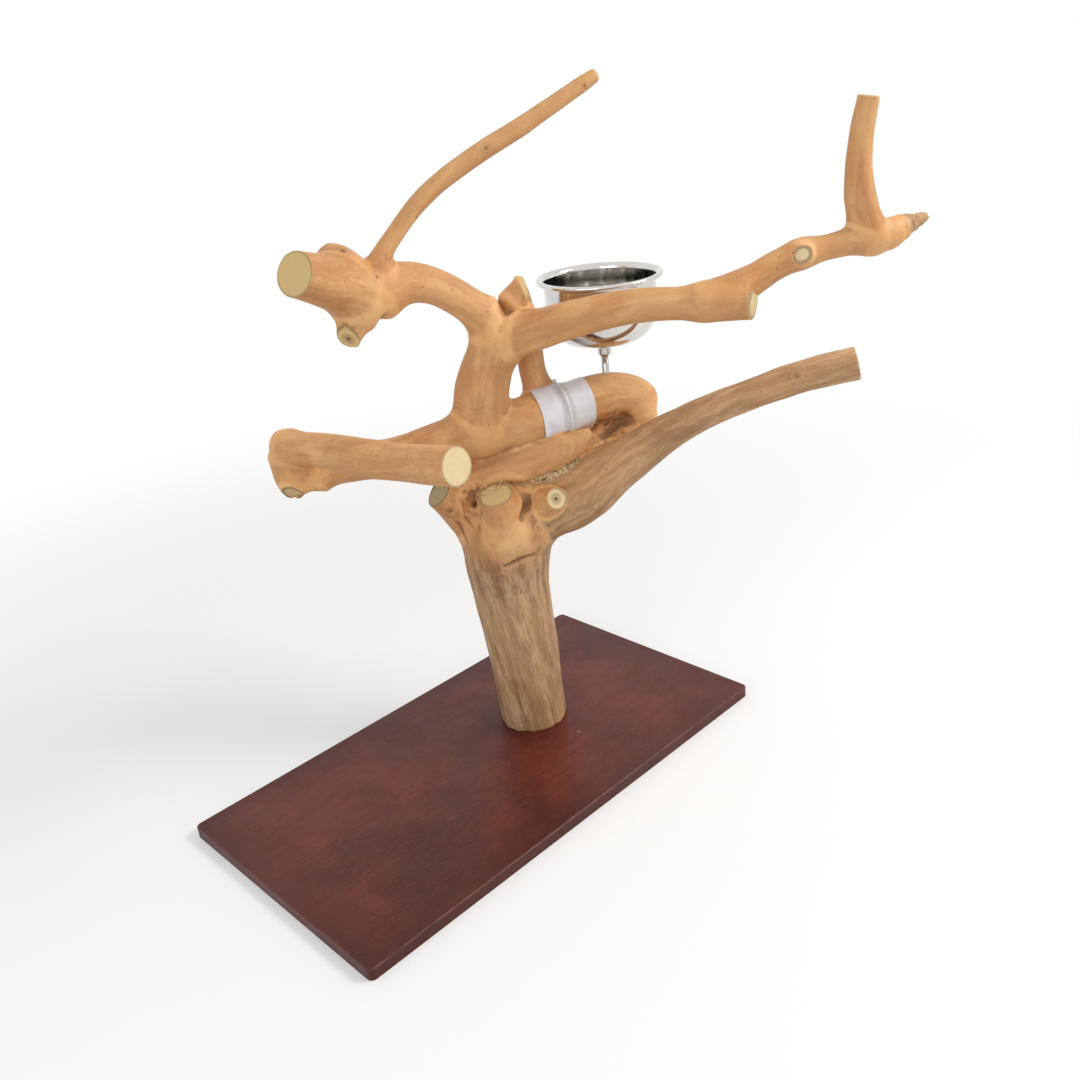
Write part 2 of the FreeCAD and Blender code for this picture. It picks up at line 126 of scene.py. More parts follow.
def dress(piece: bpy.types.Object, body: str, slot: str, *nodes: str) -> None:
    """Let a piece take the place of CAD nodes.

    Args:
        piece: the finished piece.
        body: the moving body that carries it.
        slot: its material slot; not used.
        nodes: the nodes that it replaces.
    """
    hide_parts(*nodes)
    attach(piece, body)
    LOG.info("%s replaces %s", piece.name, ", ".join(nodes))


def soften(piece: bpy.types.Object, angle: float = 35.0) -> None:
    """Shade a piece smooth, but for edges sharper than the angle in degrees."""
    choose(piece)
    bpy.ops.object.shade_smooth_by_angle(angle=math.radians(angle))


def join(pieces: list[bpy.types.Object], name: str) -> bpy.types.Object:
    """Make one object of several.

    Args:
        pieces: the objects to join.
        name: the name of the whole.

    Returns:
        The joined object.
    """
    choose(*pieces)
    bpy.ops.object.join()
    return settle(bpy.context.object, name)


# ------------------------------------------------------------------ node helpers
class Wiring:
    """Short words for wiring up the nodes of one tree."""

    def __init__(self, tree: bpy.types.NodeTree) -> None:
        """Keep the tree."""
        self.tree = tree

    def node(self, kind: str, **settings: object) -> bpy.types.Node:
        """Add a node and set its properties.

        Args:
            kind: the node's type name.
            settings: property names and their values.

        Returns:
            The new node.
        """
        made = self.tree.nodes.new(kind)
        for name, value in settings.items():
            setattr(made, name, value)
        return made

    def link(self, source: bpy.types.NodeSocket, target: bpy.types.NodeSocket) -> None:
        """Join an output to an input."""
        self.tree.links.new(source, target)

    def feed(self, target: bpy.types.NodeSocket, value: object) -> None:
        """Give an input a value, or link it when the value is another node's output."""
        if isinstance(value, bpy.types.NodeSocket):
            self.link(value, target)
        else:
            target.default_value = value

    def math(self, operation: str, *values: object) -> bpy.types.NodeSocket:
        """Work out one number from others.

        Args:
            operation: the math node's operation.
            values: numbers or outputs.

        Returns:
            The result's socket.
        """
        made = self.node("ShaderNodeMath", operation=operation)
        for socket, value in zip(made.inputs, values):
            self.feed(socket, value)
        return made.outputs[0]

    def times(self, first: object, second: object) -> bpy.types.NodeSocket:
        """Multiply two numbers or outputs."""
        return self.math("MULTIPLY", first, second)

    def span(
        self, value: object, low: float, high: float, out_low: float = 0.0, out_high: float = 1.0
    ) -> bpy.types.NodeSocket:
        """Map a range of numbers on to another, smoothly and within its ends.

        Args:
            value: the number's socket.
            low: where the range starts.
            high: where it ends.
            out_low: what its start becomes.
            out_high: what its end becomes.

        Returns:
            The result's socket.
        """
        made = self.node("ShaderNodeMapRange", interpolation_type="SMOOTHSTEP")
        for socket, number in zip(made.inputs, (value, low, high, out_low, out_high)):
            self.feed(socket, number)
        return made.outputs[0]

    def noise(
        self,
        place: object,
        scale: float,
        detail: float = 4.0,
        rough: float = 0.55,
        twist: float = 0.0,
    ) -> bpy.types.NodeSocket:
        """Cloudy noise between about 0 and 1.

        Args:
            place: the coordinates.
            scale: how many clouds to the metre.
            detail: how many finer layers.
            rough: how strong the finer layers are.
            twist: how far the pattern is bent by itself.

        Returns:
            The noise's factor.
        """
        made = self.node("ShaderNodeTexNoise")
        self.feed(made.inputs["Vector"], place)
        made.inputs["Scale"].default_value = scale
        made.inputs["Detail"].default_value = detail
        made.inputs["Roughness"].default_value = rough
        made.inputs["Distortion"].default_value = twist
        return made.outputs["Fac"]

    def stretch(self, place: object, size: tuple[float, float, float]) -> bpy.types.NodeSocket:
        """Scale coordinates, each axis by its own number."""
        made = self.node("ShaderNodeMapping")
        self.feed(made.inputs["Vector"], place)
        made.inputs["Scale"].default_value = size
        return made.outputs[0]

    def shown(self) -> bpy.types.NodeSocket:
        """Tell the rays that show the background: from the eye, through glass and off a gloss."""
        light = self.node("ShaderNodeLightPath")
        seen = self.math(
            "MAXIMUM", light.outputs["Is Camera Ray"], light.outputs["Is Transmission Ray"]
        )
        return self.math("MAXIMUM", seen, light.outputs["Is Glossy Ray"])

    def blend(self, share: object, under: object, over: object) -> bpy.types.NodeSocket:
        """Lay one colour over another.

        Args:
            share: how much of the upper colour shows.
            under: the lower colour.
            over: the upper colour.

        Returns:
            The mixed colour.
        """
        made = self.node("ShaderNodeMix", data_type="RGBA")
        self.feed(made.inputs["Factor"], share)
        self.feed(made.inputs[6], under)
        self.feed(made.inputs[7], over)
        return made.outputs[2]


def new_group(
    name: str, inputs: dict[str, tuple[str, object]], outputs: dict[str, str]
) -> bpy.types.NodeTree:
    """Make an empty shader node group with named sockets.

    Args:
        name: the group's name.
        inputs: each input's name, kind of socket and value.
        outputs: each output's name and kind of socket.

    Returns:
        The group's tree.
    """
    tree = bpy.data.node_groups.new(name, "ShaderNodeTree")
    for label, (kind, value) in inputs.items():
        socket = tree.interface.new_socket(label, in_out="INPUT", socket_type=kind)
        if value is not None:
            socket.default_value = value
    for label, kind in outputs.items():
        tree.interface.new_socket(label, in_out="OUTPUT", socket_type=kind)
    return tree


def rgb(red: float, green: float, blue: float) -> tuple[float, float, float, float]:
    """A colour written as a screen shows it, each part 0 to 255, made linear.

    Args:
        red: the red part.
        green: the green part.
        blue: the blue part.

    Returns:
        The linear colour, with a fourth part of one.
    """
    parts = [channel / 255 for channel in (red, green, blue)]
    linear = [c / 12.92 if c <= 0.04045 else ((c + 0.055) / 1.055) ** 2.4 for c in parts]
    return (linear[0], linear[1], linear[2], 1.0)


# ------------------------------------------------------------------ shared effects
def grain_group() -> bpy.types.NodeTree:
    """Build the effect of fibres that run along a limb or a board.

    Returns:
        A group that takes coordinates whose third axis runs with the fibres, and puts out a mask
        of fine fibres, one of broad streaks and a height.
    """
    tree = new_group(
        "fibre_grain",
        {
            "Place": ("NodeSocketVector", None),
            "Fibre": ("NodeSocketFloat", 900.0),
            "Streak": ("NodeSocketFloat", 120.0),
            "Length": ("NodeSocketFloat", 0.06),
        },
        {"Fibres": "NodeSocketFloat", "Streaks": "NodeSocketFloat", "Height": "NodeSocketFloat"},
    )
    wire = Wiring(tree)
    given = wire.node("NodeGroupInput")
    out = wire.node("NodeGroupOutput")
    parts = wire.node("ShaderNodeSeparateXYZ")
    wire.link(given.outputs["Place"], parts.inputs[0])
    drawn = wire.node("ShaderNodeCombineXYZ")
    wire.link(parts.outputs[0], drawn.inputs[0])
    wire.link(parts.outputs[1], drawn.inputs[1])
    wire.link(wire.times(parts.outputs[2], given.outputs["Length"]), drawn.inputs[2])
    results = []
    for label, detail, twist in (("Fibre", 3.0, 0.3), ("Streak", 5.0, 0.8)):
        texture = wire.node("ShaderNodeTexNoise")
        wire.link(drawn.outputs[0], texture.inputs["Vector"])
        wire.link(given.outputs[label], texture.inputs["Scale"])
        texture.inputs["Detail"].default_value = detail
        texture.inputs["Roughness"].default_value = 0.6
        texture.inputs["Distortion"].default_value = twist
        results.append(texture.outputs["Fac"])
    fibres = wire.span(results[0], 0.34, 0.66)
    streaks = wire.span(results[1], 0.36, 0.64)
    wire.link(fibres, out.inputs["Fibres"])
    wire.link(streaks, out.inputs["Streaks"])
    height = wire.math("ADD", wire.times(fibres, 0.35), wire.times(streaks, 0.65))
    wire.link(height, out.inputs["Height"])
    return tree


def speckle_group() -> bpy.types.NodeTree:
    """Build the effect of small scattered marks, such as dust, pin holes or chips.

    Returns:
        A group that takes coordinates, a scale and a share, and puts out a mask.
    """
    tree = new_group(
        "scattered_marks",
        {
            "Place": ("NodeSocketVector", None),
            "Scale": ("NodeSocketFloat", 300.0),
            "Share": ("NodeSocketFloat", 0.1),
        },
        {"Marks": "NodeSocketFloat"},
    )
    wire = Wiring(tree)
    given = wire.node("NodeGroupInput")
    out = wire.node("NodeGroupOutput")
    cells = wire.node("ShaderNodeTexVoronoi", feature="F1")
    wire.link(given.outputs["Place"], cells.inputs["Vector"])
    wire.link(given.outputs["Scale"], cells.inputs["Scale"])
    cells.inputs["Randomness"].default_value = 1.0
    split = wire.node("ShaderNodeSeparateColor")
    wire.link(cells.outputs["Color"], split.inputs[0])
    picked = wire.math("LESS_THAN", split.outputs[0], given.outputs["Share"])
    near = wire.span(cells.outputs["Distance"], 0.12, 0.3, 1.0, 0.0)
    wire.link(wire.times(picked, near), out.inputs["Marks"])
    return tree


@dataclass(frozen=True)
class Effects:
    """The node groups that several finishes share."""

    grain: bpy.types.NodeTree = field(default_factory=grain_group)
    marks: bpy.types.NodeTree = field(default_factory=speckle_group)


def use_group(wire: Wiring, tree: bpy.types.NodeTree, **values: object) -> bpy.types.Node:
    """Place a group in a material.

    Args:
        wire: the material's wiring.
        tree: the group.
        values: input names and their values.

    Returns:
        The group's node.
    """
    made = wire.node("ShaderNodeGroup", node_tree=tree)
    for name, value in values.items():
        wire.feed(made.inputs[name], value)
    return made


class Finish:
    """A material with its shader, ready to be wired."""

    def __init__(self, name: str, roughness: float, metallic: float = 0.0) -> None:
        """Make the material.

        Args:
            name: the material's name.
            roughness: how matt it is.
            metallic: one for bare metal.
        """
        self.material = bpy.data.materials.new(name)
        self.material.use_nodes = True
        self.wire = Wiring(self.material.node_tree)
        self.shader = self.material.node_tree.nodes["Principled BSDF"]
        self.shader.inputs["Roughness"].default_value = roughness
        self.shader.inputs["Metallic"].default_value = metallic

    def colour(self, value: object) -> None:
        """Set or link the base colour."""
        self.wire.feed(self.shader.inputs["Base Color"], value)

    def roughness(self, value: object) -> None:
        """Set or link the roughness."""
        self.wire.feed(self.shader.inputs["Roughness"], value)

    def bump(self, height: object, depth: float, strength: float = 1.0) -> None:
        """Raise the surface by a height map.

        Args:
            height: the map, 0 to 1.
            depth: how deep a step of one is, in metres.
            strength: how much of the slope is used.
        """
        made = self.wire.node("ShaderNodeBump")
        made.inputs["Strength"].default_value = strength
        made.inputs["Distance"].default_value = depth
        self.wire.feed(made.inputs["Height"], height)
        self.wire.link(made.outputs[0], self.shader.inputs["Normal"])

    def attribute(self, name: str, output: str = "Fac") -> bpy.types.NodeSocket:
        """Read a value that the piece carries at its points."""
        return self.wire.node("ShaderNodeAttribute", attribute_name=name).outputs[output]

    def object_place(self) -> bpy.types.NodeSocket:
        """Read where a point lies, in the piece's own metres."""
        return self.wire.node("ShaderNodeTexCoord").outputs["Object"]


# ------------------------------------------------------------------ finishes
@dataclass(frozen=True)
class PeeledWood:
    """Peeled, oiled timber: greyish and fluted at the foot, warm and smooth above, with painted
    shade in its hollows, pits and furrows and a painted highlight on its ridges.
    """

    name: str = "peeled_wood"
    warm_light: tuple = rgb(236, 186, 128)
    warm: tuple = rgb(216, 154, 94)
    warm_dark: tuple = rgb(172, 110, 60)
    grey_light: tuple = rgb(214, 182, 144)
    grey: tuple = rgb(180, 140, 100)
    grey_dark: tuple = rgb(132, 96, 64)
    # Dark brown of knots and pin holes, also used as painted shade in hollows, pits and furrows.
    knot_and_crease_shade: tuple = rgb(84, 50, 28)
    torn: tuple = rgb(238, 216, 172)

    def make(self, effects: Effects) -> bpy.types.Material:
        """Wire the wood.

        Args:
            effects: the shared node groups.

        Returns:
            The material.
        """
        finish = Finish(self.name, 0.62)
        wire = finish.wire
        place = finish.attribute("grain", "Vector")
        spot = finish.object_place()
        grain = use_group(wire, effects.grain, Place=place, Fibre=1400.0, Streak=230.0, Length=0.07)
        broad = use_group(wire, effects.grain, Place=place, Fibre=420.0, Streak=70.0, Length=0.16)
        clouds = wire.span(wire.noise(spot, 22.0, 5.0, 0.6, 0.6), 0.36, 0.66)
        large = wire.span(wire.noise(spot, 7.0, 3.0), 0.4, 0.62)
        aged = finish.attribute("aged")
        hollow = finish.attribute("hollow")
        knot = finish.attribute("knot")
        torn = finish.attribute("torn")
        steady = wire.span(finish.attribute("fork"), 0.68, 0.88, 1.0, 0.0)
        whole = wire.math("SUBTRACT", 1.0, torn)

        warm = wire.blend(clouds, self.warm, self.warm_light)
        streaks = broad.outputs["Streaks"]
        warm = wire.blend(wire.times(wire.times(streaks, steady), 0.5), warm, self.warm_dark)
        grey = wire.blend(broad.outputs["Fibres"], self.grey, self.grey_light)
        grey = wire.blend(wire.times(streaks, 0.8), grey, self.grey_dark)
        colour = wire.blend(aged, warm, grey)
        fine = wire.times(wire.times(grain.outputs["Fibres"], steady), 0.22)
        colour = wire.blend(fine, colour, self.warm_dark)
        colour = wire.blend(wire.times(large, 0.25), colour, self.warm_light)
        # Painted shade: the hollows of the skin are darkened towards the dark brown.
        dark = wire.times(wire.times(wire.span(hollow, 0.55, 1.0), whole), 0.5)
        colour = wire.blend(dark, colour, self.knot_and_crease_shade)
        # Painted highlight: the ridges of the skin are lightened.
        ridge_highlight = wire.times(wire.span(hollow, 0.5, 0.1), 0.3)
        colour = wire.blend(ridge_highlight, colour, self.warm_light)
        # The knot mask darkens knots by their own colour, and is also painted shade in knot pits
        # and furrows.
        colour = wire.blend(wire.times(knot, 0.85), colour, self.knot_and_crease_shade)
        pin = use_group(wire, effects.marks, Place=spot, Scale=190.0, Share=0.06)
        colour = wire.blend(wire.times(pin.outputs["Marks"], 0.35), colour, self.knot_and_crease_shade)
        crumb = wire.span(wire.noise(spot, 420.0, 4.0), 0.44, 0.56)
        colour = wire.blend(wire.times(torn, crumb), colour, self.torn)
        finish.colour(colour)
        finish.roughness(wire.span(clouds, 0.0, 1.0, 0.5, 0.72))
        height = wire.math(
            "ADD",
            wire.times(grain.outputs["Height"], 0.45),
            wire.times(broad.outputs["Height"], wire.span(aged, 0.0, 1.0, 0.35, 1.3)),
        )
        height = wire.times(height, steady)
        height = wire.math("ADD", height, wire.times(wire.times(torn, crumb), 1.2))
        finish.bump(height, 0.0007)
        return finish.material


@dataclass(frozen=True)
class SawnEnd:
    """A sawn end: pale, with rings round its heart, a thin dark skin and saw marks."""

    name: str = "sawn_end"
    pale: tuple = rgb(238, 217, 172)
    ring: tuple = rgb(214, 184, 130)
    tan: tuple = rgb(216, 184, 122)
    grey: tuple = rgb(184, 168, 134)
    skin: tuple = rgb(126, 84, 48)
    heart: tuple = rgb(66, 44, 28)

    def make(self) -> bpy.types.Material:
        """Wire the end grain.

        Returns:
            The material.
        """
        finish = Finish(self.name, 0.8)
        wire = finish.wire
        spot = finish.object_place()
        place = finish.attribute("cut_place", "Vector")
        age = finish.attribute("cut_age")
        pith = finish.attribute("cut_heart")
        rim = finish.attribute("cut_rim")
        bent = wire.node("ShaderNodeVectorMath", operation="LENGTH")
        wire.link(place, bent.inputs[0])
        radius = wire.math(
            "ADD", bent.outputs["Value"], wire.times(wire.noise(spot, 60.0, 3.0), 0.003)
        )
        rings = wire.math("SINE", wire.times(radius, 3600.0))
        colour = wire.blend(wire.span(rings, -0.2, 1.0, 0.0, 0.42), self.pale, self.ring)
        blotch = wire.span(wire.noise(spot, 110.0, 4.0), 0.42, 0.64)
        colour = wire.blend(wire.times(blotch, 0.25), colour, self.ring)
        colour = wire.blend(wire.span(age, 0.1, 0.4, 0.0, 0.85), colour, self.tan)
        colour = wire.blend(wire.span(age, 0.4, 1.0), colour, self.grey)
        dot = wire.span(radius, 0.0022, 0.0042, 1.0, 0.0)
        halo = wire.times(wire.span(radius, 0.005, 0.0105, 1.0, 0.0), 0.45)
        colour = wire.blend(wire.times(halo, pith), colour, self.skin)
        colour = wire.blend(wire.times(dot, pith), colour, self.heart)
        colour = wire.blend(wire.span(rim, 0.86, 0.99, 0.0, 0.6), colour, self.skin)
        finish.colour(colour)
        marks = wire.noise(wire.stretch(spot, (1.0, 0.12, 1.0)), 1500.0, 3.0)
        finish.bump(wire.math("ADD", marks, wire.times(rings, 0.2)), 0.0004)
        return finish.material


@dataclass(frozen=True)
class StainedBoard:
    """A board stained reddish brown under a thin satin lacquer, painted darker towards its edges
    and on its sides as painted shade, with a painted sheen along its top arris.
    """

    name: str = "stained_board"
    middle: tuple = rgb(108, 46, 32)
    # Dark stain tone, also used as painted shade towards the edges and on the sides.
    dark: tuple = rgb(70, 26, 20)
    pore: tuple = rgb(140, 74, 54)
    # Colour of the painted sheen along the top arris.
    edge: tuple = rgb(120, 74, 62)
    dust: tuple = rgb(190, 170, 160)
    border: tuple = (0.07, 0.05)

    def make(self, effects: Effects, half: tuple[float, float], top: float) -> bpy.types.Material:
        """Wire the board's finish.

        Args:
            effects: the shared node groups.
            half: half the board's length and half its width.
            top: the height of its upper face.

        Returns:
            The material.
        """
        finish = Finish(self.name, 0.36)
        wire = finish.wire
        spot = finish.object_place()
        parts = wire.node("ShaderNodeSeparateXYZ")
        wire.link(spot, parts.inputs[0])
        turned = wire.node("ShaderNodeCombineXYZ")
        wire.link(parts.outputs[1], turned.inputs[0])
        wire.link(parts.outputs[2], turned.inputs[1])
        wire.link(parts.outputs[0], turned.inputs[2])
        grain = use_group(
            wire, effects.grain, Place=turned.outputs[0], Fibre=1300.0, Streak=160.0, Length=0.05
        )
        mottle = wire.span(wire.noise(spot, 9.0, 5.0, 0.6, 0.4), 0.34, 0.68)
        colour = wire.blend(mottle, self.dark, self.middle)
        colour = wire.blend(
            wire.times(grain.outputs["Streaks"], 0.4), colour, self.dark
        )
        flecks = wire.math("POWER", grain.outputs["Fibres"], 3.0)
        colour = wire.blend(wire.times(flecks, 0.3), colour, self.pore)
        edge_shades, arrises = [], []
        # Painted shade: darker towards the edges, fullest on the side faces.
        for axis, (reach, border) in enumerate(zip(half, self.border)):
            away = wire.math("ABSOLUTE", parts.outputs[axis])
            edge_shades.append(wire.span(away, reach - border, reach, 0.0, 0.55))
            arrises.append(wire.span(away, reach - 0.0016, reach - 0.0002))
        colour = wire.blend(wire.math("MAXIMUM", *edge_shades), colour, self.dark)
        # Painted sheen: a thin lighter line along the top arris, broken up by noise.
        high = wire.span(parts.outputs[2], top - 0.0022, top - 0.0004)
        arris = wire.times(wire.math("MAXIMUM", *arrises), high)
        patchy_sheen = wire.span(wire.noise(spot, 60.0, 4.0), 0.35, 0.6, 0.15, 0.75)
        colour = wire.blend(wire.times(arris, patchy_sheen), colour, self.edge)
        dust = use_group(wire, effects.marks, Place=spot, Scale=34.0, Share=0.05)
        small = wire.math("POWER", dust.outputs["Marks"], 14.0)
        colour = wire.blend(wire.times(small, 0.7), colour, self.dust)
        finish.colour(colour)
        finish.roughness(wire.span(wire.noise(spot, 30.0, 4.0), 0.3, 0.7, 0.3, 0.46))
        finish.shader.inputs["Specular IOR Level"].default_value = 0.22
        finish.shader.inputs["Coat Weight"].default_value = 0.08
        finish.shader.inputs["Coat Roughness"].default_value = 0.25
        finish.bump(grain.outputs["Fibres"], 0.00012, 0.6)
        return finish.material


@dataclass(frozen=True)
class Steel:
    """Bare steel, mirror bright or turned."""

    name: str
    tint: tuple
    smooth: float
    rough: float
    spun_depth: float

    def make(self, axis: Vector) -> bpy.types.Material:
        """Wire the steel.

        Args:
            axis: a point on the axis that the piece was spun round.

        Returns:
            The material.
        """
        finish = Finish(self.name, self.smooth, 1.0)
        wire = finish.wire
        moved = wire.node("ShaderNodeVectorMath", operation="SUBTRACT")
        wire.link(finish.object_place(), moved.inputs[0])
        moved.inputs[1].default_value = axis
        parts = wire.node("ShaderNodeSeparateXYZ")
        wire.link(moved.outputs[0], parts.inputs[0])
        flat = wire.node("ShaderNodeCombineXYZ")
        wire.link(parts.outputs[0], flat.inputs[0])
        wire.link(parts.outputs[1], flat.inputs[1])
        out = wire.node("ShaderNodeVectorMath", operation="LENGTH")
        wire.link(flat.outputs[0], out.inputs[0])
        round_place = wire.node("ShaderNodeCombineXYZ")
        wire.link(out.outputs["Value"], round_place.inputs[0])
        wire.link(parts.outputs[2], round_place.inputs[1])
        spun = wire.noise(round_place.outputs[0], 900.0, 3.0)
        smear = wire.span(wire.noise(finish.object_place(), 28.0, 5.0, 0.65, 0.5), 0.4, 0.7)
        finish.colour(wire.blend(wire.times(smear, 0.16), self.tint, rgb(150, 146, 140)))
        finish.roughness(wire.span(smear, 0.0, 1.0, self.smooth, self.rough))
        finish.bump(spun, self.spun_depth, 0.5)
        return finish.material


@dataclass(frozen=True)
class PlainSheet:
    """Paper, tape or nylon: one pale colour with a little unevenness."""

    name: str
    tint: tuple
    shade: tuple
    rough: float
    alpha: float = 1.0
    coat: float = 0.0

    def make(self, effects: Effects) -> bpy.types.Material:
        """Wire the sheet.

        Args:
            effects: the shared node groups.

        Returns:
            The material.
        """
        finish = Finish(self.name, self.rough)
        wire = finish.wire
        spot = finish.object_place()
        cloud = wire.span(wire.noise(spot, 45.0, 4.0, 0.55, 0.4), 0.36, 0.66)
        fibre = wire.noise(spot, 2600.0, 3.0)
        colour = wire.blend(wire.times(cloud, 0.5), self.tint, self.shade)
        marks = use_group(wire, effects.marks, Place=spot, Scale=420.0, Share=0.04)
        colour = wire.blend(wire.times(marks.outputs["Marks"], 0.2), colour, self.shade)
        finish.colour(colour)
        finish.roughness(wire.span(cloud, 0.0, 1.0, self.rough, self.rough + 0.12))
        finish.shader.inputs["Coat Weight"].default_value = self.coat
        finish.shader.inputs["Alpha"].default_value = self.alpha
        finish.bump(wire.math("ADD", fibre, wire.times(cloud, 2.0)), 0.00012, 0.7)
        return finish.material


# ------------------------------------------------------------------ the viewer's place
@dataclass(frozen=True)
class Viewpoint:
    """Where the stand is looked at from. The picture is square, 1080 by 1080."""

    place: tuple[float, float, float] = (-0.6109, -0.7787, 0.7144)
    forward: tuple[float, float, float] = (0.61893, 0.66682, -0.41506)
    right: tuple[float, float, float] = (0.70054, -0.70763, -0.09221)
    lens: float = 35.46
    sensor: float = 36.0
    side: int = 1080

    def ray(self, across: float, down: float) -> Vector:
        """The way from the eye through a point of the picture.

        Args:
            across: how far from the left, out of 1080.
            down: how far from the top.

        Returns:
            A direction of length one.
        """
        reach = self.lens / self.sensor * self.side
        forward = Vector(self.forward).normalized()
        right = Vector(self.right).normalized()
        up = right.cross(forward)
        way = forward * reach + right * (across - self.side / 2) - up * (down - self.side / 2)
        return way.normalized()

    def set_camera(self) -> None:
        """Make the camera."""
        forward = Vector(self.forward).normalized()
        right = Vector(self.right).normalized()
        up = right.cross(forward)
        deselect()
        bpy.ops.object.camera_add(location=self.place)
        camera = bpy.context.object
        camera.name = "viewpoint"
        turn = Matrix((right, up, -forward)).transposed()
        camera.matrix_world = Matrix.Translation(self.place) @ turn.to_4x4()
        camera.data.lens = self.lens
        camera.data.sensor_width = self.sensor
        camera.data.clip_end = 20.0
        bpy.context.scene.camera = camera


# ------------------------------------------------------------------ the timber
class Heart(Enum):
    """What a sawn end shows in its middle."""

    PLAIN = 0.0
    PITH = 1.0


@dataclass(frozen=True)
class Limb:
    """One limb: where it runs and how thick it is, in millimetres."""

    name: str
    stations: tuple[tuple[float, float, float, float], ...]


@dataclass(frozen=True)
class Sawn:
    """A sawn end: its limb, age, heart, tilt, and how far beside it the saw reaches, in radii."""

    limb: str
    age: float = 0.0
    heart: Heart = Heart.PLAIN
    tilt: tuple[float, float, float] = (0.0, 0.0, 0.0)
    reach: float = 1.5


@dataclass(frozen=True)
class Seam:
    """A furrow as it is seen: its line in the picture, its half width and depth in mm, its tear;
    its depth also sets its painted shade.
    """

    points: tuple[tuple[float, float], ...]
    width: float
    depth: float
    torn: float = 0.0


@dataclass(frozen=True)
class Knot:
    """A knot as it is seen: its place in the picture, its size in millimetres, and its swell."""

    across: float
    down: float
    size: float
    swell: float
    pit: float = 1.0


LIMBS = (
    Limb("trunk", (
        (85, 12, 6, 38.5), (83, 14, 85, 40), (80, 17, 145, 41.5), (78, 19, 195, 44),
        (77, 16, 233, 47.5), (78, 12, 267, 48.5), (82, 14, 290, 37), (84, 18, 306, 24),
    )),
    Limb("left_stub", ((62, 30, 257, 26), (39, 39, 285, 23), (17, 45, 308, 16))),
    Limb("front_stub", ((68, 8, 225, 26), (60, -6, 268, 25), (46, -12, 309, 17.5))),
    Limb("hollow_stub", ((60, 18, 258, 24), (46, 14, 286, 18), (38, 14, 302, 14))),
    Limb("pith_stub", ((98, 2, 268, 24), (94, -24, 283, 18), (89.5, -54.5, 299, 11))),
    Limb("wedge_stub", (
        (42, 51, 311, 19), (54, 40, 314, 21), (85, 11, 325, 22), (112, -13, 330, 20),
        (135, -33, 337, 15),
        (155, -49, 350, 6),
    )),
    Limb("lower_right_branch", (
        (86, 8, 269, 36), (113, -18, 276, 35), (136, -44, 287, 33), (158, -69, 308, 28),
        (179, -94, 330, 24), (200, -121, 352, 20), (221, -147, 368, 18), (249, -182, 384, 16),
        (275, -216, 398, 16.5), (312, -264, 410, 17.5),
    )),
    Limb("crossing_limb", (
        (-93, 110, 356, 20), (-56, 86, 359, 20), (-13, 60, 357, 21), (25, 40, 362, 23.5),
        (64, 21, 367, 25.5), (105, 4, 368, 25), (148, -13, 371, 25), (199, -33, 374, 26),
        (226, -45, 366, 25), (243, -53, 357, 17),
    )),
    Limb("crossing_root", (
        (122, -10, 288, 30), (166, -26, 308, 31), (200, -41, 324, 27), (222, -47, 339, 24),
        (226, -47, 357, 22),
    )),
    Limb("left_knuckle", ((-105, 116, 386, 17), (-100, 114, 364, 25), (-95, 109, 342, 19))),
    Limb("front_left_arm", (
        (-110, 118, 386, 15), (-102, 82, 390, 16.5), (-90, 35, 388, 18.5), (-79, -30, 390, 18),
        (-73, -104, 399, 18),
    )),
    Limb("upright", (
        (64, 21, 371, 25), (67, 18, 402, 28), (72, 14, 424, 27), (79, 6, 448, 25),
        (86, -2, 468, 25), (88, -5, 484, 18),
    )),
    Limb("rear_limb", (
        (136, 6, 371, 15), (139, 9, 394, 15), (134, 9, 415, 14), (129, 6, 438, 14),
        (113, -2, 466, 14),
    )),
    Limb("crotch_stub", ((102, -4, 472, 17), (107, -10, 496, 16), (110, -16, 508, 13))),
    Limb("upper_left_arm", (
        (86, -2, 460, 22), (69, 8, 488, 18.5), (50, 17, 508, 17.5), (30, 27, 523, 18),
        (8, 37, 529, 20), (-18, 46, 525, 22.5), (-42, 54, 529, 24),
    )),
    Limb("broad_stub", ((-30, 52, 521, 27), (-66, 43, 542, 24.5), (-114, 30, 562, 20.3))),
    Limb("under_stub", ((-39, 49, 521, 23), (-50, 49, 503, 16), (-58, 49, 490, 12))),
    Limb("top_knuckle", ((-45, 54, 540, 23), (-57, 60, 558, 21), (-65, 62, 566, 15))),
    Limb("twig_perch", (
        (-19, 41, 537, 14), (-15, 38, 557, 10.6), (-6, 31, 572, 9.2), (20, 13, 603, 9.2),
        (57, -10, 630, 9.3), (106, -39, 656, 8.8), (156, -69, 685, 7.8), (168, -77, 692, 6.5),
    )),
    Limb("upper_right_arm", (
        (84, 0, 460, 21), (100, -34, 469, 20), (117, -65, 478, 19), (138, -99, 486, 18),
        (157, -125, 489, 16.5), (177, -152, 489, 15.5), (195, -176, 488, 16.5),
        (217, -208, 485, 15),
    )),
    Limb("outer_right_branch", (
        (195, -172, 490, 14), (214, -192, 499, 15.8), (228, -205, 507, 14.2),
        (244, -217, 516, 13.8), (264, -231, 523, 13), (288, -246, 526, 12.3),
        (310, -260, 528, 13), (330, -272, 529, 13), (345, -281, 532, 10.5),
    )),
    Limb("upright_prong", (
        (323, -269, 529, 13), (316, -262, 555, 15.3), (313, -259, 588, 12.8),
        (312, -260, 616, 11.4), (315, -265, 653, 10),
    )),
    Limb("bark_tip", (
        (339, -276, 529, 10), (354, -286, 536, 8), (366, -293, 539, 7), (374, -297, 542, 6),
    )),
    Limb("branch_nub", ((264, -231, 523, 8), (256, -237, 525, 7), (250, -242, 526, 6.5))),
    Limb("knuckle_nub", ((-100, 112, 362, 14), (-112, 106, 350, 9), (-118, 102, 345, 7.5))),
)

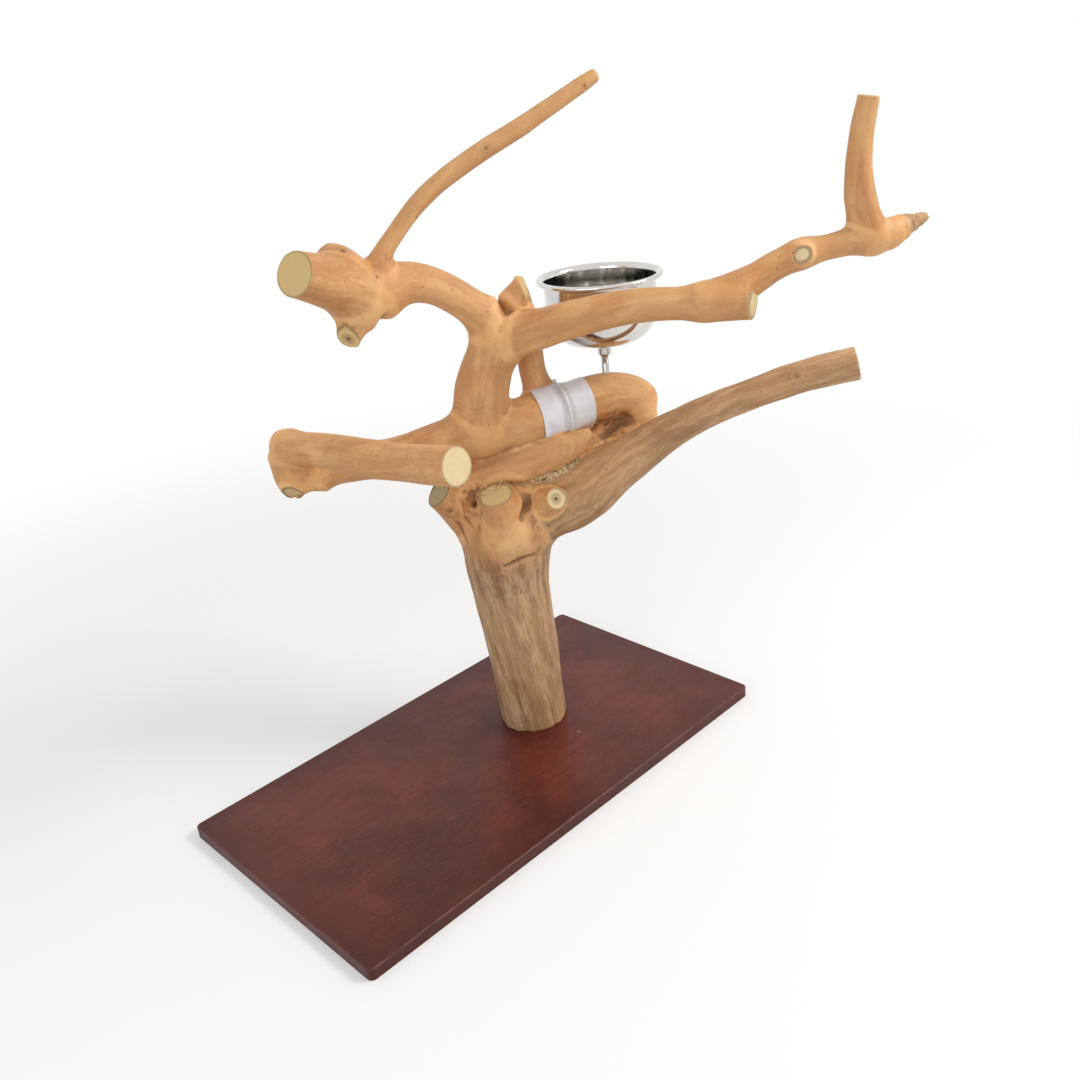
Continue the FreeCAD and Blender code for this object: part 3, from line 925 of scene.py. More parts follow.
NUMBER = {limb.name: number for number, limb in enumerate(LIMBS)}

SAWN = (
    Sawn("left_stub", 0.85),
    Sawn("front_stub", 0.3, reach=1.2),
    Sawn("pith_stub", 0.15, Heart.PITH, reach=1.35),
    Sawn("lower_right_branch", 0.5),
    Sawn("front_left_arm", 0.0),
    Sawn("broad_stub", 0.4),
    Sawn("under_stub", 0.3, Heart.PITH, (-0.75, -0.55, 0.1)),
    Sawn("upper_right_arm", 0.2, Heart.PLAIN, (-0.26, -0.16, 0.08), 1.32),
    Sawn("crotch_stub", 0.4, Heart.PLAIN, (0.55, -0.65, -0.5)),
    Sawn("upright_prong", 0.8),
    Sawn("branch_nub", 0.1),
    Sawn("knuckle_nub", 0.6),
)

SEAMS = (
    Seam(((519, 484), (533, 482), (549, 477), (564, 471), (573, 465), (582, 459)), 4.0, 2.4, 1.0),
    Seam(((503, 567), (512, 564), (523, 559), (536, 553)), 2.6, 3.2),
    Seam(((528, 492), (527, 502), (524, 514), (521, 524)), 5.5, 5.0),
    # This wide, deep furrow darkens the hollow under the crossing limb with painted shade.
    Seam(((598, 438), (609, 430), (622, 422), (634, 416)), 10.0, 6.5),
    Seam(((463, 484), (461, 500), (466, 520), (474, 528)), 2.2, 2.0),
    Seam(((456, 520), (462, 532), (468, 545)), 3.0, 2.0),
    Seam(((341, 337), (348, 332), (355, 330)), 3.0, 1.2),
)

SPLINTERS = (
    (499, 482, 4.5), (502, 481, 6.0), (505, 482, 4.0), (508, 483, 5.5), (486, 487, 3.5),
    (480, 497, 4.0), (484, 503, 3.5), (552, 475, 3.0), (560, 471, 3.5), (571, 466, 4.5),
    (577, 462, 3.5), (540, 480, 3.0), (268, 440, 6.5), (371, 249, 3.5), (366, 258, 3.0),
)

KNOTS = (
    Knot(450, 510, 9, 2.0),
    Knot(540, 528, 8, 2.6, 0.5),
    Knot(538, 548, 7, 2.4, 0.6),
    Knot(568, 448, 9, 1.2, 0.3),
    Knot(797, 376, 7, 0.8, 0.6),
    Knot(486, 148, 4, 0.4),
    Knot(584, 84, 3, 0.3),
    Knot(370, 255, 3, 0.2),
    Knot(343, 252, 6, 1.4, 1.6),
    Knot(476, 503, 11, 1.0, 3.6),
    Knot(387, 259, 4, 0.8, 1.0),
    Knot(377, 277, 5, 0.8, 0.8),
    Knot(330, 273, 9, 0.9, 0.2),
    Knot(722, 274, 12, 5.0, 0.1),
    Knot(524, 297, 7, 1.5, 0.4),
    Knot(617, 508, 13, 3.0, 0.0),
    Knot(452, 434, 5, 0.4, 0.4),
    Knot(350, 478, 5, 0.6, 0.3),
    Knot(700, 392, 5, 0.5, 0.3),
    Knot(600, 462, 5, 0.4, 0.3),
)


@dataclass(frozen=True)
class Relief:
    """A layer of relief: its cells a metre across and along the grain, its heights in mm."""

    across: float
    along: float
    young: float
    old: float
    sharp: bool = False

    def heights(self, grain: np.ndarray, slim: np.ndarray, aged: np.ndarray) -> np.ndarray:
        """Work out the layer.

        Args:
            grain: each point's place across and along its limb.
            slim: how slender the limb is, less than one for a thin one.
            aged: how old the point's skin is.

        Returns:
            A height a point, in millimetres.
        """
        wave = clouds(grain * np.array([self.across, self.across, self.along]), 2)
        if self.sharp:
            wave = 1.0 - 2.0 * np.abs(wave)
        return wave * (self.young * slim + self.old * aged)


FLUTES = Relief(62.0, 5.0, 0.5, 1.1)
RIDGES = Relief(120.0, 8.0, 0.1, 0.36, sharp=True)
FIBRES = Relief(330.0, 20.0, 0.08, 0.16)


def ramp(values: np.ndarray, low: float, high: float) -> np.ndarray:
    """Map values between two ends to 0..1, smoothly.

    Args:
        values: the numbers.
        low: what becomes 0.
        high: what becomes 1.

    Returns:
        The mapped numbers.
    """
    share = np.clip((values - low) / (high - low), 0.0, 1.0)
    return share * share * (3.0 - 2.0 * share)


def lattice(cells: np.ndarray) -> np.ndarray:
    """A repeatable number between -1 and 1 for each whole-numbered place."""
    mixed = cells[..., 0] * 374761393 + cells[..., 1] * 668265263 + cells[..., 2] * 2147483647
    mixed = (mixed ^ (mixed >> 13)) * 1274126177
    mixed = (mixed ^ (mixed >> 16)) & 0xFFFFFF
    return mixed / float(0x7FFFFF) - 1.0


def clouds(places: np.ndarray, layers: int = 3) -> np.ndarray:
    """Cloudy noise in space, with finer layers at half the strength.

    Args:
        places: one row of three coordinates a point, in cells.
        layers: how many layers.

    Returns:
        A number a point, between about -1 and 1.
    """
    total = np.zeros(len(places))
    strength = 1.0
    scaled = places.astype(float)
    for _ in range(layers):
        base = np.floor(scaled).astype(np.int64)
        part = scaled - base
        part = part * part * (3.0 - 2.0 * part)
        value = np.zeros(len(places))
        for corner in range(8):
            step = np.array([(corner >> axis) & 1 for axis in range(3)])
            weight = np.prod(np.where(step == 1, part, 1.0 - part), axis=1)
            value += weight * lattice(base + step)
        total += strength * value
        strength *= 0.5
        scaled = scaled * 2.03 + 17.1
    return total


@dataclass
class Timber:
    """The grown timber: limbs joined into one skin, carved, and sawn off at their ends."""

    voxel: float = 0.0023
    overrun: float = 0.007
    smoothing: int = 6
    fork: float = 0.018
    foot: float = 0.0131
    swells: float = 24.0
    swell: float = 0.9
    twist: float = 3.2
    thick_girth: float = 30.0
    apart: float = 0.37
    waist: float = 0.402
    wrinkle: float = 0.45
    saw_back: float = 0.004
    flatness: float = 0.0016
    view: Viewpoint = field(default_factory=Viewpoint)

    def tube(self, limb: Limb) -> bpy.types.Object:
        """Lay a curve through a limb's stations and give it its thickness.

        Args:
            limb: the limb.

        Returns:
            The limb as a closed mesh.
        """
        points = [Vector(station[:3]) * MM for station in limb.stations]
        radii = [station[3] * MM for station in limb.stations]
        if any(sawn.limb == limb.name for sawn in SAWN):
            way = (points[-1] - points[-2]).normalized()
            points.append(points[-1] + way * self.overrun)
            radii.append(radii[-1])
        deselect()
        bpy.ops.curve.primitive_bezier_curve_add()
        curve = bpy.context.object
        spline = curve.data.splines[0]
        spline.bezier_points.add(len(points) - len(spline.bezier_points))
        for knot, point, radius in zip(spline.bezier_points, points, radii):
            knot.co = point
            knot.radius = radius
            knot.handle_left_type = "AUTO"
            knot.handle_right_type = "AUTO"
        spline.radius_interpolation = "CARDINAL"
        curve.data.dimensions = "3D"
        curve.data.twist_mode = "MINIMUM"
        curve.data.bevel_depth = 1.0
        curve.data.bevel_resolution = 5
        curve.data.resolution_u = 8
        curve.data.use_fill_caps = True
        choose(curve)
        bpy.ops.object.convert(target="MESH")
        piece = settle(bpy.context.object, f"limb_{limb.name}")
        face_outwards(piece)
        return piece

    def grow(self) -> bpy.types.Object:
        """Join the limbs into one closed skin with soft forks.

        Returns:
            The timber, before it is carved.
        """
        timber = join([self.tube(limb) for limb in LIMBS], "timber")
        modify(timber, "REMESH", mode="VOXEL", voxel_size=self.voxel)
        modify(timber, "SMOOTH", factor=0.6, iterations=self.smoothing)
        apply_all(timber)
        return timber

    @staticmethod
    def measure(limb: Limb, turn: float, places: np.ndarray) -> tuple[np.ndarray, np.ndarray]:
        """Measure points against one limb.

        Args:
            limb: the limb.
            turn: a number that sets its grain apart from that of the other limbs.
            places: the points, in metres.

        Returns:
            How far each point is outside the limb, and its place across and along it.
        """
        stations = np.array(limb.stations) * MM
        least = np.full(len(places), 1e9)
        grain = np.zeros((len(places), 3))
        along = turn
        side = np.array([0.45, 0.9, 0.1])
        for first, second in zip(stations[:-1], stations[1:]):
            run = second[:3] - first[:3]
            length = float(np.linalg.norm(run))
            way = run / length
            side = side - way * float(side @ way)
            side = side / np.linalg.norm(side)
            across = np.cross(way, side)
            offset = places - first[:3]
            part = np.clip(offset @ way / length, 0.0, 1.0)
            radius = first[3] + (second[3] - first[3]) * part
            away = offset - np.outer(part * length, way)
            gap = np.linalg.norm(away, axis=1) - radius
            nearer = gap < least
            least = np.where(nearer, gap, least)
            local = np.column_stack((away @ side, away @ across, along + part * length))
            grain[nearer] = local[nearer]
            along += length
        return least, grain

    def follow(self, places: np.ndarray) -> tuple[np.ndarray, np.ndarray, np.ndarray]:
        """Find the limb that each point belongs to.

        Args:
            places: the points, in metres.

        Returns:
            For each point its place across and along its limb, the number of the limb, and how
            near another limb is: 1 in the middle of a fork and 0 away from it.
        """
        first = np.full(len(places), 1e9)
        second = np.full(len(places), 1e9)
        grain = np.zeros((len(places), 3))
        owner = np.zeros(len(places), dtype=int)
        for number, limb in enumerate(LIMBS):
            gap, local = self.measure(limb, self.apart * number, places)
            nearer = gap < first
            second = np.where(nearer, first, np.minimum(second, gap))
            first = np.where(nearer, gap, first)
            grain[nearer] = local[nearer]
            owner[nearer] = number
        fork = np.clip(1.0 - (second - first) / self.fork, 0.0, 1.0)
        return grain, owner, fork

    @staticmethod
    def read(mesh: bpy.types.Mesh, word: str) -> np.ndarray:
        """Read the place or the normal of every point of a mesh, one row each."""
        values = np.empty(len(mesh.vertices) * 3)
        mesh.vertices.foreach_get(word, values)
        return values.reshape(-1, 3)

    def fill_forks(self, timber: bpy.types.Object) -> None:
        """Let the limbs flow into one another: fill every fork, then smooth the skin.

        Args:
            timber: the joined timber.
        """
        mesh = timber.data
        places = self.read(mesh, "co")
        _, _, fork = self.follow(places)
        moved = places + self.read(mesh, "normal") * (fork**2 * self.fork / 4)[:, None]
        mesh.vertices.foreach_set("co", moved.ravel())
        mesh.update()
        modify(timber, "SMOOTH", factor=0.5, iterations=self.smoothing)
        apply_all(timber)

    def carve(self, timber: bpy.types.Object) -> None:
        """Give the skin its flutes, swellings, knots and furrows, and note them at its points.

        Args:
            timber: the joined timber.
        """
        mesh = timber.data
        places = self.read(mesh, "co")
        normals = self.read(mesh, "normal")
        grain, owner, fork = self.follow(places)
        aged = self.age(places, owner)
        calm = 1.0 - 0.8 * fork
        girth = np.array([max(station[3] for station in limb.stations) for limb in LIMBS])[owner]
        slim = np.clip(girth / self.thick_girth, 0.25, 1.0)

        lift = clouds(places * self.swells, 2) * self.swell * (0.5 + 0.5 * slim)
        turned = grain.copy()
        angle = grain[:, 2] * self.twist
        turned[:, 0] = grain[:, 0] * np.cos(angle) - grain[:, 1] * np.sin(angle)
        turned[:, 1] = grain[:, 0] * np.sin(angle) + grain[:, 1] * np.cos(angle)
        for layer in (FLUTES, RIDGES, FIBRES):
            lift += layer.heights(turned, slim, aged) * calm
        lift += self.wrinkles(places, owner)
        lift += (owner == NUMBER["bark_tip"]) * clouds(places * 330.0, 3) * 0.9
        lift += self.broken_rim(places, grain, owner)

        knot_and_pit_shade, knot_lift = self.knots(timber, places)
        furrow_shade_mask, seam_lift, torn = self.seams(timber, places)
        lift += knot_lift + seam_lift
        lift += torn * (clouds(places * 300.0, 2) * 0.8 - 0.2)
        moved = places + normals * (lift * MM)[:, None]
        mesh.vertices.foreach_set("co", moved.ravel())
        mesh.update()
        self.note(mesh, "grain", turned)
        self.note(mesh, "aged", aged)
        # The knot attribute carries the knots' own dark colour and painted shade in knot pits and
        # furrows.
        self.note(mesh, "knot", np.maximum(knot_and_pit_shade, furrow_shade_mask))
        self.note(mesh, "torn", torn)
        self.note(mesh, "fork", fork)
        # The hollow measure drives painted shade in hollows and a painted highlight on ridges.
        self.note(mesh, "hollow", self.hollows(timber))

    @staticmethod
    def age(places: np.ndarray, owner: np.ndarray) -> np.ndarray:
        """Tell how old and grey the skin is: on the trunk, the long branch and the bark.

        Args:
            places: the timber's points.
            owner: the number of each point's limb.

        Returns:
            A share a point, 1 where it is oldest.
        """
        aged = np.where(owner == NUMBER["lower_right_branch"], 0.72, 0.0)
        aged = np.where(owner == NUMBER["trunk"], ramp(-places[:, 2], -0.27, -0.2), aged)
        return np.where(owner == NUMBER["bark_tip"], 0.9, aged)

    def wrinkles(self, places: np.ndarray, owner: np.ndarray) -> np.ndarray:
        """Wrinkle the left side of the upright's waist.

        Args:
            places: the timber's points.
            owner: the number of each point's limb.

        Returns:
            A height a point, in millimetres.
        """
        around = ramp(-np.abs(places[:, 2] - self.waist), -0.014, 0.0)
        side = ramp(-places[:, 0], -0.068, -0.05)
        waves = np.sin(places[:, 2] * 1150.0 + clouds(places * 45.0, 2) * 4.0)
        return around * (owner == NUMBER["upright"]) * side * waves * self.wrinkle

    def broken_rim(self, places: np.ndarray, grain: np.ndarray, owner: np.ndarray) -> np.ndarray:
        """Break up the rim of the hollow stub.

        Args:
            places: the timber's points.
            grain: each point's place across and along its limb.
            owner: the number of each point's limb.

        Returns:
            A height a point, in millimetres.
        """
        hollow = NUMBER["hollow_stub"]
        rim = np.exp(-((grain[:, 2] - self.apart * hollow - 0.05) / 0.008) ** 2)
        return rim * (owner == hollow) * clouds(places * 240.0, 2) * 1.6

    def spot(self, timber: bpy.types.Object, across: float, down: float) -> Vector | None:
        """The point of the timber that is seen at a place in the picture."""
        eye = Vector(self.view.place)
        hit, place, _, _ = timber.ray_cast(eye, self.view.ray(across, down))
        return place if hit else None

    def knots(self, timber: bpy.types.Object, places: np.ndarray) -> tuple[np.ndarray, np.ndarray]:
        """Work out the swelling and the pit of every knot.

        Args:
            timber: the timber, to find where each knot lies on it.
            places: its points.

        Returns:
            How dark each point is, the knot's own colour with painted shade in its pit, and how far
            it is lifted, in millimetres.
        """
        mask = np.zeros(len(places))
        lift = np.zeros(len(places))
        for knot in KNOTS:
            centre = self.spot(timber, knot.across, knot.down)
            if centre is None:
                LOG.warning("no timber at %s, %s", knot.across, knot.down)
                continue
            gap = np.linalg.norm(places - np.array(centre), axis=1) / (knot.size * MM)
            gap = gap * (1.0 + 0.15 * clouds(places * 150.0, 2))
            lift += knot.swell * np.exp(-((gap / 1.25) ** 2))
            lift += 0.3 * knot.swell * np.sin(gap * 9.0) * np.exp(-((gap / 1.1) ** 2))
            lift -= knot.pit * (0.9 + knot.swell * 0.5) * np.exp(-((gap / 0.4) ** 2))
            # The eye's darkness grows with the pit: knot colour together with painted shade in the
            # pit.
            eye_dark = knot.pit * np.exp(-((gap / 0.36) ** 2))
            ring = min(knot.pit, 1.0) * 0.35 * np.exp(-(((gap - 1.0) / 0.16) ** 2))
            mask = np.maximum(mask, np.maximum(eye_dark, ring))
        return np.clip(mask, 0.0, 1.0), lift

    def seams(
        self, timber: bpy.types.Object, places: np.ndarray
    ) -> tuple[np.ndarray, np.ndarray, np.ndarray]:
        """Work out the furrows of the timber.

        Args:
            timber: the timber, to find where each line lies on it.
            places: its points.

        Returns:
            How dark each point is painted as shade in the furrows, how far it is lifted in
            millimetres, and how torn it is.
        """
        dark = np.zeros(len(places))
        lift = np.zeros(len(places))
        torn = np.zeros(len(places))
        waver = 1.0 + 0.25 * clouds(places * 130.0, 2)
        for seam in SEAMS:
            line = [self.spot(timber, *point) for point in seam.points]
            least = np.full(len(places), 1.0)
            share = np.zeros(len(places))
            for number, (first, second) in enumerate(zip(line[:-1], line[1:])):
                if first is None or second is None:
                    continue
                run = np.array(second - first)
                part = np.clip((places - np.array(first)) @ run / float(run @ run), 0.0, 1.0)
                gap = np.linalg.norm(places - np.array(first) - np.outer(part, run), axis=1)
                share = np.where(gap < least, (number + part) / (len(line) - 1), share)
                least = np.minimum(least, gap)
            near = np.exp(-((least * waver / (seam.width * MM)) ** 2))
            near *= np.sqrt(np.clip(5.0 * share * (1.0 - share) + 0.04, 0.0, 1.0))
            lift -= seam.depth * near
            torn = np.maximum(torn, near * seam.torn)
            # Painted shade: the deeper the furrow, the darker it is painted.
            dark = np.maximum(dark, near**3 * 0.1 * seam.depth * (1.0 - seam.torn))
        return dark, lift, torn

    @staticmethod
    def note(mesh: bpy.types.Mesh, name: str, values: np.ndarray) -> None:
        """Keep a value, or three, at every point of a mesh."""
        kind, word = ("FLOAT_VECTOR", "vector") if values.ndim == 2 else ("FLOAT", "value")
        kept = mesh.attributes.new(name, kind, "POINT")
        kept.data.foreach_set(word, values.astype(np.float32).ravel())

    @staticmethod
    def hollows(timber: bpy.types.Object) -> np.ndarray:
        """Tell hollows from ridges: 0 on a ridge, 0.5 on the flat, 1 in a hollow.

        Args:
            timber: the carved timber.

        Returns:
            A number a point.
        """
        mesh = timber.data
        count = len(mesh.vertices)
        places = Timber.read(mesh, "co")
        normals = Timber.read(mesh, "normal")
        edges = np.empty(len(mesh.edges) * 2, dtype=np.int64)
        mesh.edges.foreach_get("vertices", edges)
        edges = edges.reshape(-1, 2)
        degree = np.bincount(edges.ravel(), minlength=count).astype(float)
        smooth = places.copy()
        for _ in range(6):
            total = np.zeros_like(smooth)
            for axis in range(3):
                total[:, axis] += np.bincount(edges[:, 0], smooth[edges[:, 1], axis], count)
                total[:, axis] += np.bincount(edges[:, 1], smooth[edges[:, 0], axis], count)
            smooth = total / np.maximum(degree, 1.0)[:, None]
        sink = np.sum((smooth - places) * normals, axis=1)
        return np.clip(0.5 + (sink + 0.0002) / 0.0016, 0.0, 1.0)

    def saw(self, timber: bpy.types.Object) -> None:
        """Saw the limbs off square, and the trunk level with the board.

        Args:
            timber: the carved timber.
        """
        stations = {limb.name: limb.stations for limb in LIMBS}
        cuts = [(Vector((0.085, 0.012, self.foot)), Vector((0, 0, -1)), 0.05, Sawn("trunk", 0.4))]
        for sawn in SAWN:
            last, before = stations[sawn.limb][-1], stations[sawn.limb][-2]
            centre = Vector(last[:3]) * MM
            way = (centre - Vector(before[:3]) * MM).normalized()
            way = (way + Vector(sawn.tilt)).normalized()
            cuts.append((centre, way, last[3] * MM, sawn))
        for centre, way, radius, sawn in cuts:
            self.saw_one(timber, centre, way, radius, sawn)

    def choose_tip(
        self, shape: bmesh.types.BMesh, centre: Vector, way: Vector, reach: float
    ) -> None:
        """Select the faces of a limb's tip, from its end back to the saw.

        Args:
            shape: the timber, in edit mode.
            centre: the middle of the cut.
            way: the way that the cut faces.
            reach: how far beside the cut's middle the tip goes.
        """
        tip = centre + way * self.overrun
        near = min(shape.faces, key=lambda f: (f.calc_center_median() - tip).length)
        near.select = True
        front = [near]
        while front:
            face = front.pop()
            for edge in face.edges:
                for other in edge.link_faces:
                    offset = other.calc_center_median() - centre
                    depth = offset.dot(way)
                    beside = (offset - way * depth).length
                    if not other.select and depth > -self.saw_back and beside < reach:
                        other.select = True
                        front.append(other)

    @staticmethod
    def fill_cut(timber: bpy.types.Object) -> None:
        """Close the open edge that the saw left, with a fan of faces.

        Args:
            timber: the timber, in edit mode.
        """
        bpy.ops.mesh.select_all(action="DESELECT")
        bpy.ops.mesh.select_mode(type="EDGE")
        shape = bmesh.from_edit_mesh(timber.data)
        for edge in shape.edges:
            edge.select = edge.is_boundary
        bmesh.update_edit_mesh(timber.data)
        bpy.ops.mesh.edge_face_add()
        bpy.ops.mesh.select_mode(type="FACE")
        shape = bmesh.from_edit_mesh(timber.data)
        filled = [face for face in shape.faces if face.select]
        bpy.ops.mesh.select_all(action="DESELECT")
        for face in filled:
            face.select = True
        bmesh.update_edit_mesh(timber.data)
        bpy.ops.mesh.poke()

    def saw_one(
        self, timber: bpy.types.Object, centre: Vector, way: Vector, radius: float, sawn: Sawn
    ) -> None:
        """Saw off one end, fill the cut, and note its rings at its points.

        Args:
            timber: the timber.
            centre: the middle of the cut.
            way: the way that the cut faces.
            radius: the limb's radius there.
            sawn: how old the cut is, what its heart shows and how far the saw reaches.
        """
        choose(timber)
        bpy.ops.object.mode_set(mode="EDIT")
        bpy.ops.mesh.select_mode(type="FACE")
        bpy.ops.mesh.select_all(action="DESELECT")
        shape = bmesh.from_edit_mesh(timber.data)
        reach = radius * sawn.reach
        self.choose_tip(shape, centre, way, reach)
        bmesh.update_edit_mesh(timber.data)
        bpy.ops.mesh.bisect(plane_co=centre, plane_no=way, clear_outer=True)
        self.fill_cut(timber)
        shape = bmesh.from_edit_mesh(timber.data)
        vectors, floats = shape.verts.layers.float_vector, shape.verts.layers.float
        place_layer = vectors.get("cut_place") or vectors.new("cut_place")
        layers = {}
        for name in ("cut_age", "cut_heart", "cut_rim"):
            layers[name] = floats.get(name) or floats.new(name)
        side = way.orthogonal().normalized()
        across = way.cross(side)
        for face in shape.faces:
            offset = face.calc_center_median() - centre
            flat = abs(face.normal.dot(way)) > 0.9 and abs(offset.dot(way)) < self.flatness
            if flat and offset.length < reach:
                face.material_index = 1
                face.smooth = False
                for point in face.verts:
                    away = point.co - centre
                    point[place_layer] = Vector((away.dot(side), away.dot(across), 0.0))
                    point[layers["cut_age"]] = sawn.age
                    point[layers["cut_heart"]] = sawn.heart.value
                    point[layers["cut_rim"]] = min(away.length / radius, 1.2)
        bmesh.update_edit_mesh(timber.data)
        bpy.ops.object.mode_set(mode="OBJECT")

    def splinters(self, timber: bpy.types.Object) -> list[bpy.types.Object]:
        """Raise splinters where the timber was torn.

        Args:
            timber: the sawn timber.

        Returns:
            The splinters.
        """
        made = []
        for number, (across, down, length) in enumerate(SPLINTERS):
            foot = self.spot(timber, across, down)
            if foot is None:
                continue
            deselect()
            bpy.ops.mesh.primitive_cone_add(
                vertices=5, radius1=0.0009, radius2=0.0002, depth=(length + 2) * MM
            )
            splinter = bpy.context.object
            lean = Vector((math.sin(number * 2.4) * 0.5, math.cos(number * 1.7) * 0.5, 1.0))
            turn = lean.to_track_quat("Z", "Y").to_matrix().to_4x4()
            middle = foot + lean.normalized() * (length / 2 - 1) * MM
            splinter.matrix_world = Matrix.Translation(middle) @ turn
            settle(splinter, f"splinter_{number}")
            splinter.data.materials.append(timber.data.materials[1])
            made.append(splinter)
        return made

    def make(self, effects: Effects) -> bpy.types.Object:
        """Make the whole timber and finish it.

        Args:
            effects: the shared node groups.

        Returns:
            The timber.
        """
        timber = self.grow()
        self.fill_forks(timber)
        self.carve(timber)
        timber.data.materials.clear()
        timber.data.materials.append(PeeledWood().make(effects))
        timber.data.materials.append(SawnEnd().make())
        choose(timber)
        bpy.ops.object.shade_smooth()
        self.saw(timber)
        timber = join([*self.splinters(timber), timber], "timber")
        nodes = (
            "trunk", "lower_right_branch", "wedge_stub", "crossing_limb", "crossing_root",
            "front_left_arm", "upright", "rear_limb", "crotch_stub", "upper_left_arm", "twig_perch",
            "upper_right_arm", "outer_right_branch", "upright_prong", "bark_tip",
        )
        dress(timber, "stand", "timber", *nodes)
        return timber


# ------------------------------------------------------------------ turned pieces
def turned(
    name: str, profile: list[tuple[float, float]], axis: Vector, steps: int
) -> bpy.types.Object:
    """Spin a profile round an upright axis.

    Args:
        name: the piece's name.
        profile: (distance from the axis, height) pairs in metres; closed where both ends meet it.
        axis: a point on the axis.
        steps: how many steps make the turn.

    Returns:
        The spun piece.
    """
    deselect()
    bpy.ops.mesh.primitive_plane_add(size=0.01)
    piece = bpy.context.object
    bpy.ops.object.mode_set(mode="EDIT")
    bpy.ops.mesh.select_all(action="SELECT")
    bpy.ops.mesh.delete(type="VERT")
    shape = bmesh.from_edit_mesh(piece.data)
    points = [shape.verts.new((axis.x + away, axis.y, height)) for away, height in profile]
    for first, second in zip(points[:-1], points[1:]):
        shape.edges.new((first, second))
    bmesh.update_edit_mesh(piece.data)
    bpy.ops.mesh.select_all(action="SELECT")
    bpy.ops.mesh.spin(
        steps=steps, angle=math.tau, center=(axis.x, axis.y, 0.0), axis=(0.0, 0.0, 1.0)
    )
    bpy.ops.object.mode_set(mode="OBJECT")
    settle(piece, name)
    face_outwards(piece, 2e-6)
    return piece


def arc(
    centre: tuple[float, float], radius: float, start: float, end: float, steps: int
) -> list[tuple[float, float]]:
    """Points of an arc in a profile.

    Args:
        centre: (distance from the axis, height) of its middle.
        radius: its radius.
        start: its first angle in degrees, from outwards towards up.
        end: its last angle.
        steps: how many pieces it is divided in.

    Returns:
        The points, both ends among them.
    """
    angles = [math.radians(start + (end - start) * step / steps) for step in range(steps + 1)]
    return [(centre[0] + radius * math.cos(a), centre[1] + radius * math.sin(a)) for a in angles]


def rings(half: float, depth: float, low: float, high: float) -> list[tuple[float, float]]:
    """Points of a profile with shallow rings, as a rolled thread shows.

    Args:
        half: the rod's radius.
        depth: how deep the rings are.
        low: where they start.
        high: where they end.

    Returns:
        The points, two a ring.
    """
    points = []
    while low < high:
        points += [(half, low), (half - depth, low + PITCH / 2)]
        low += PITCH
    return points


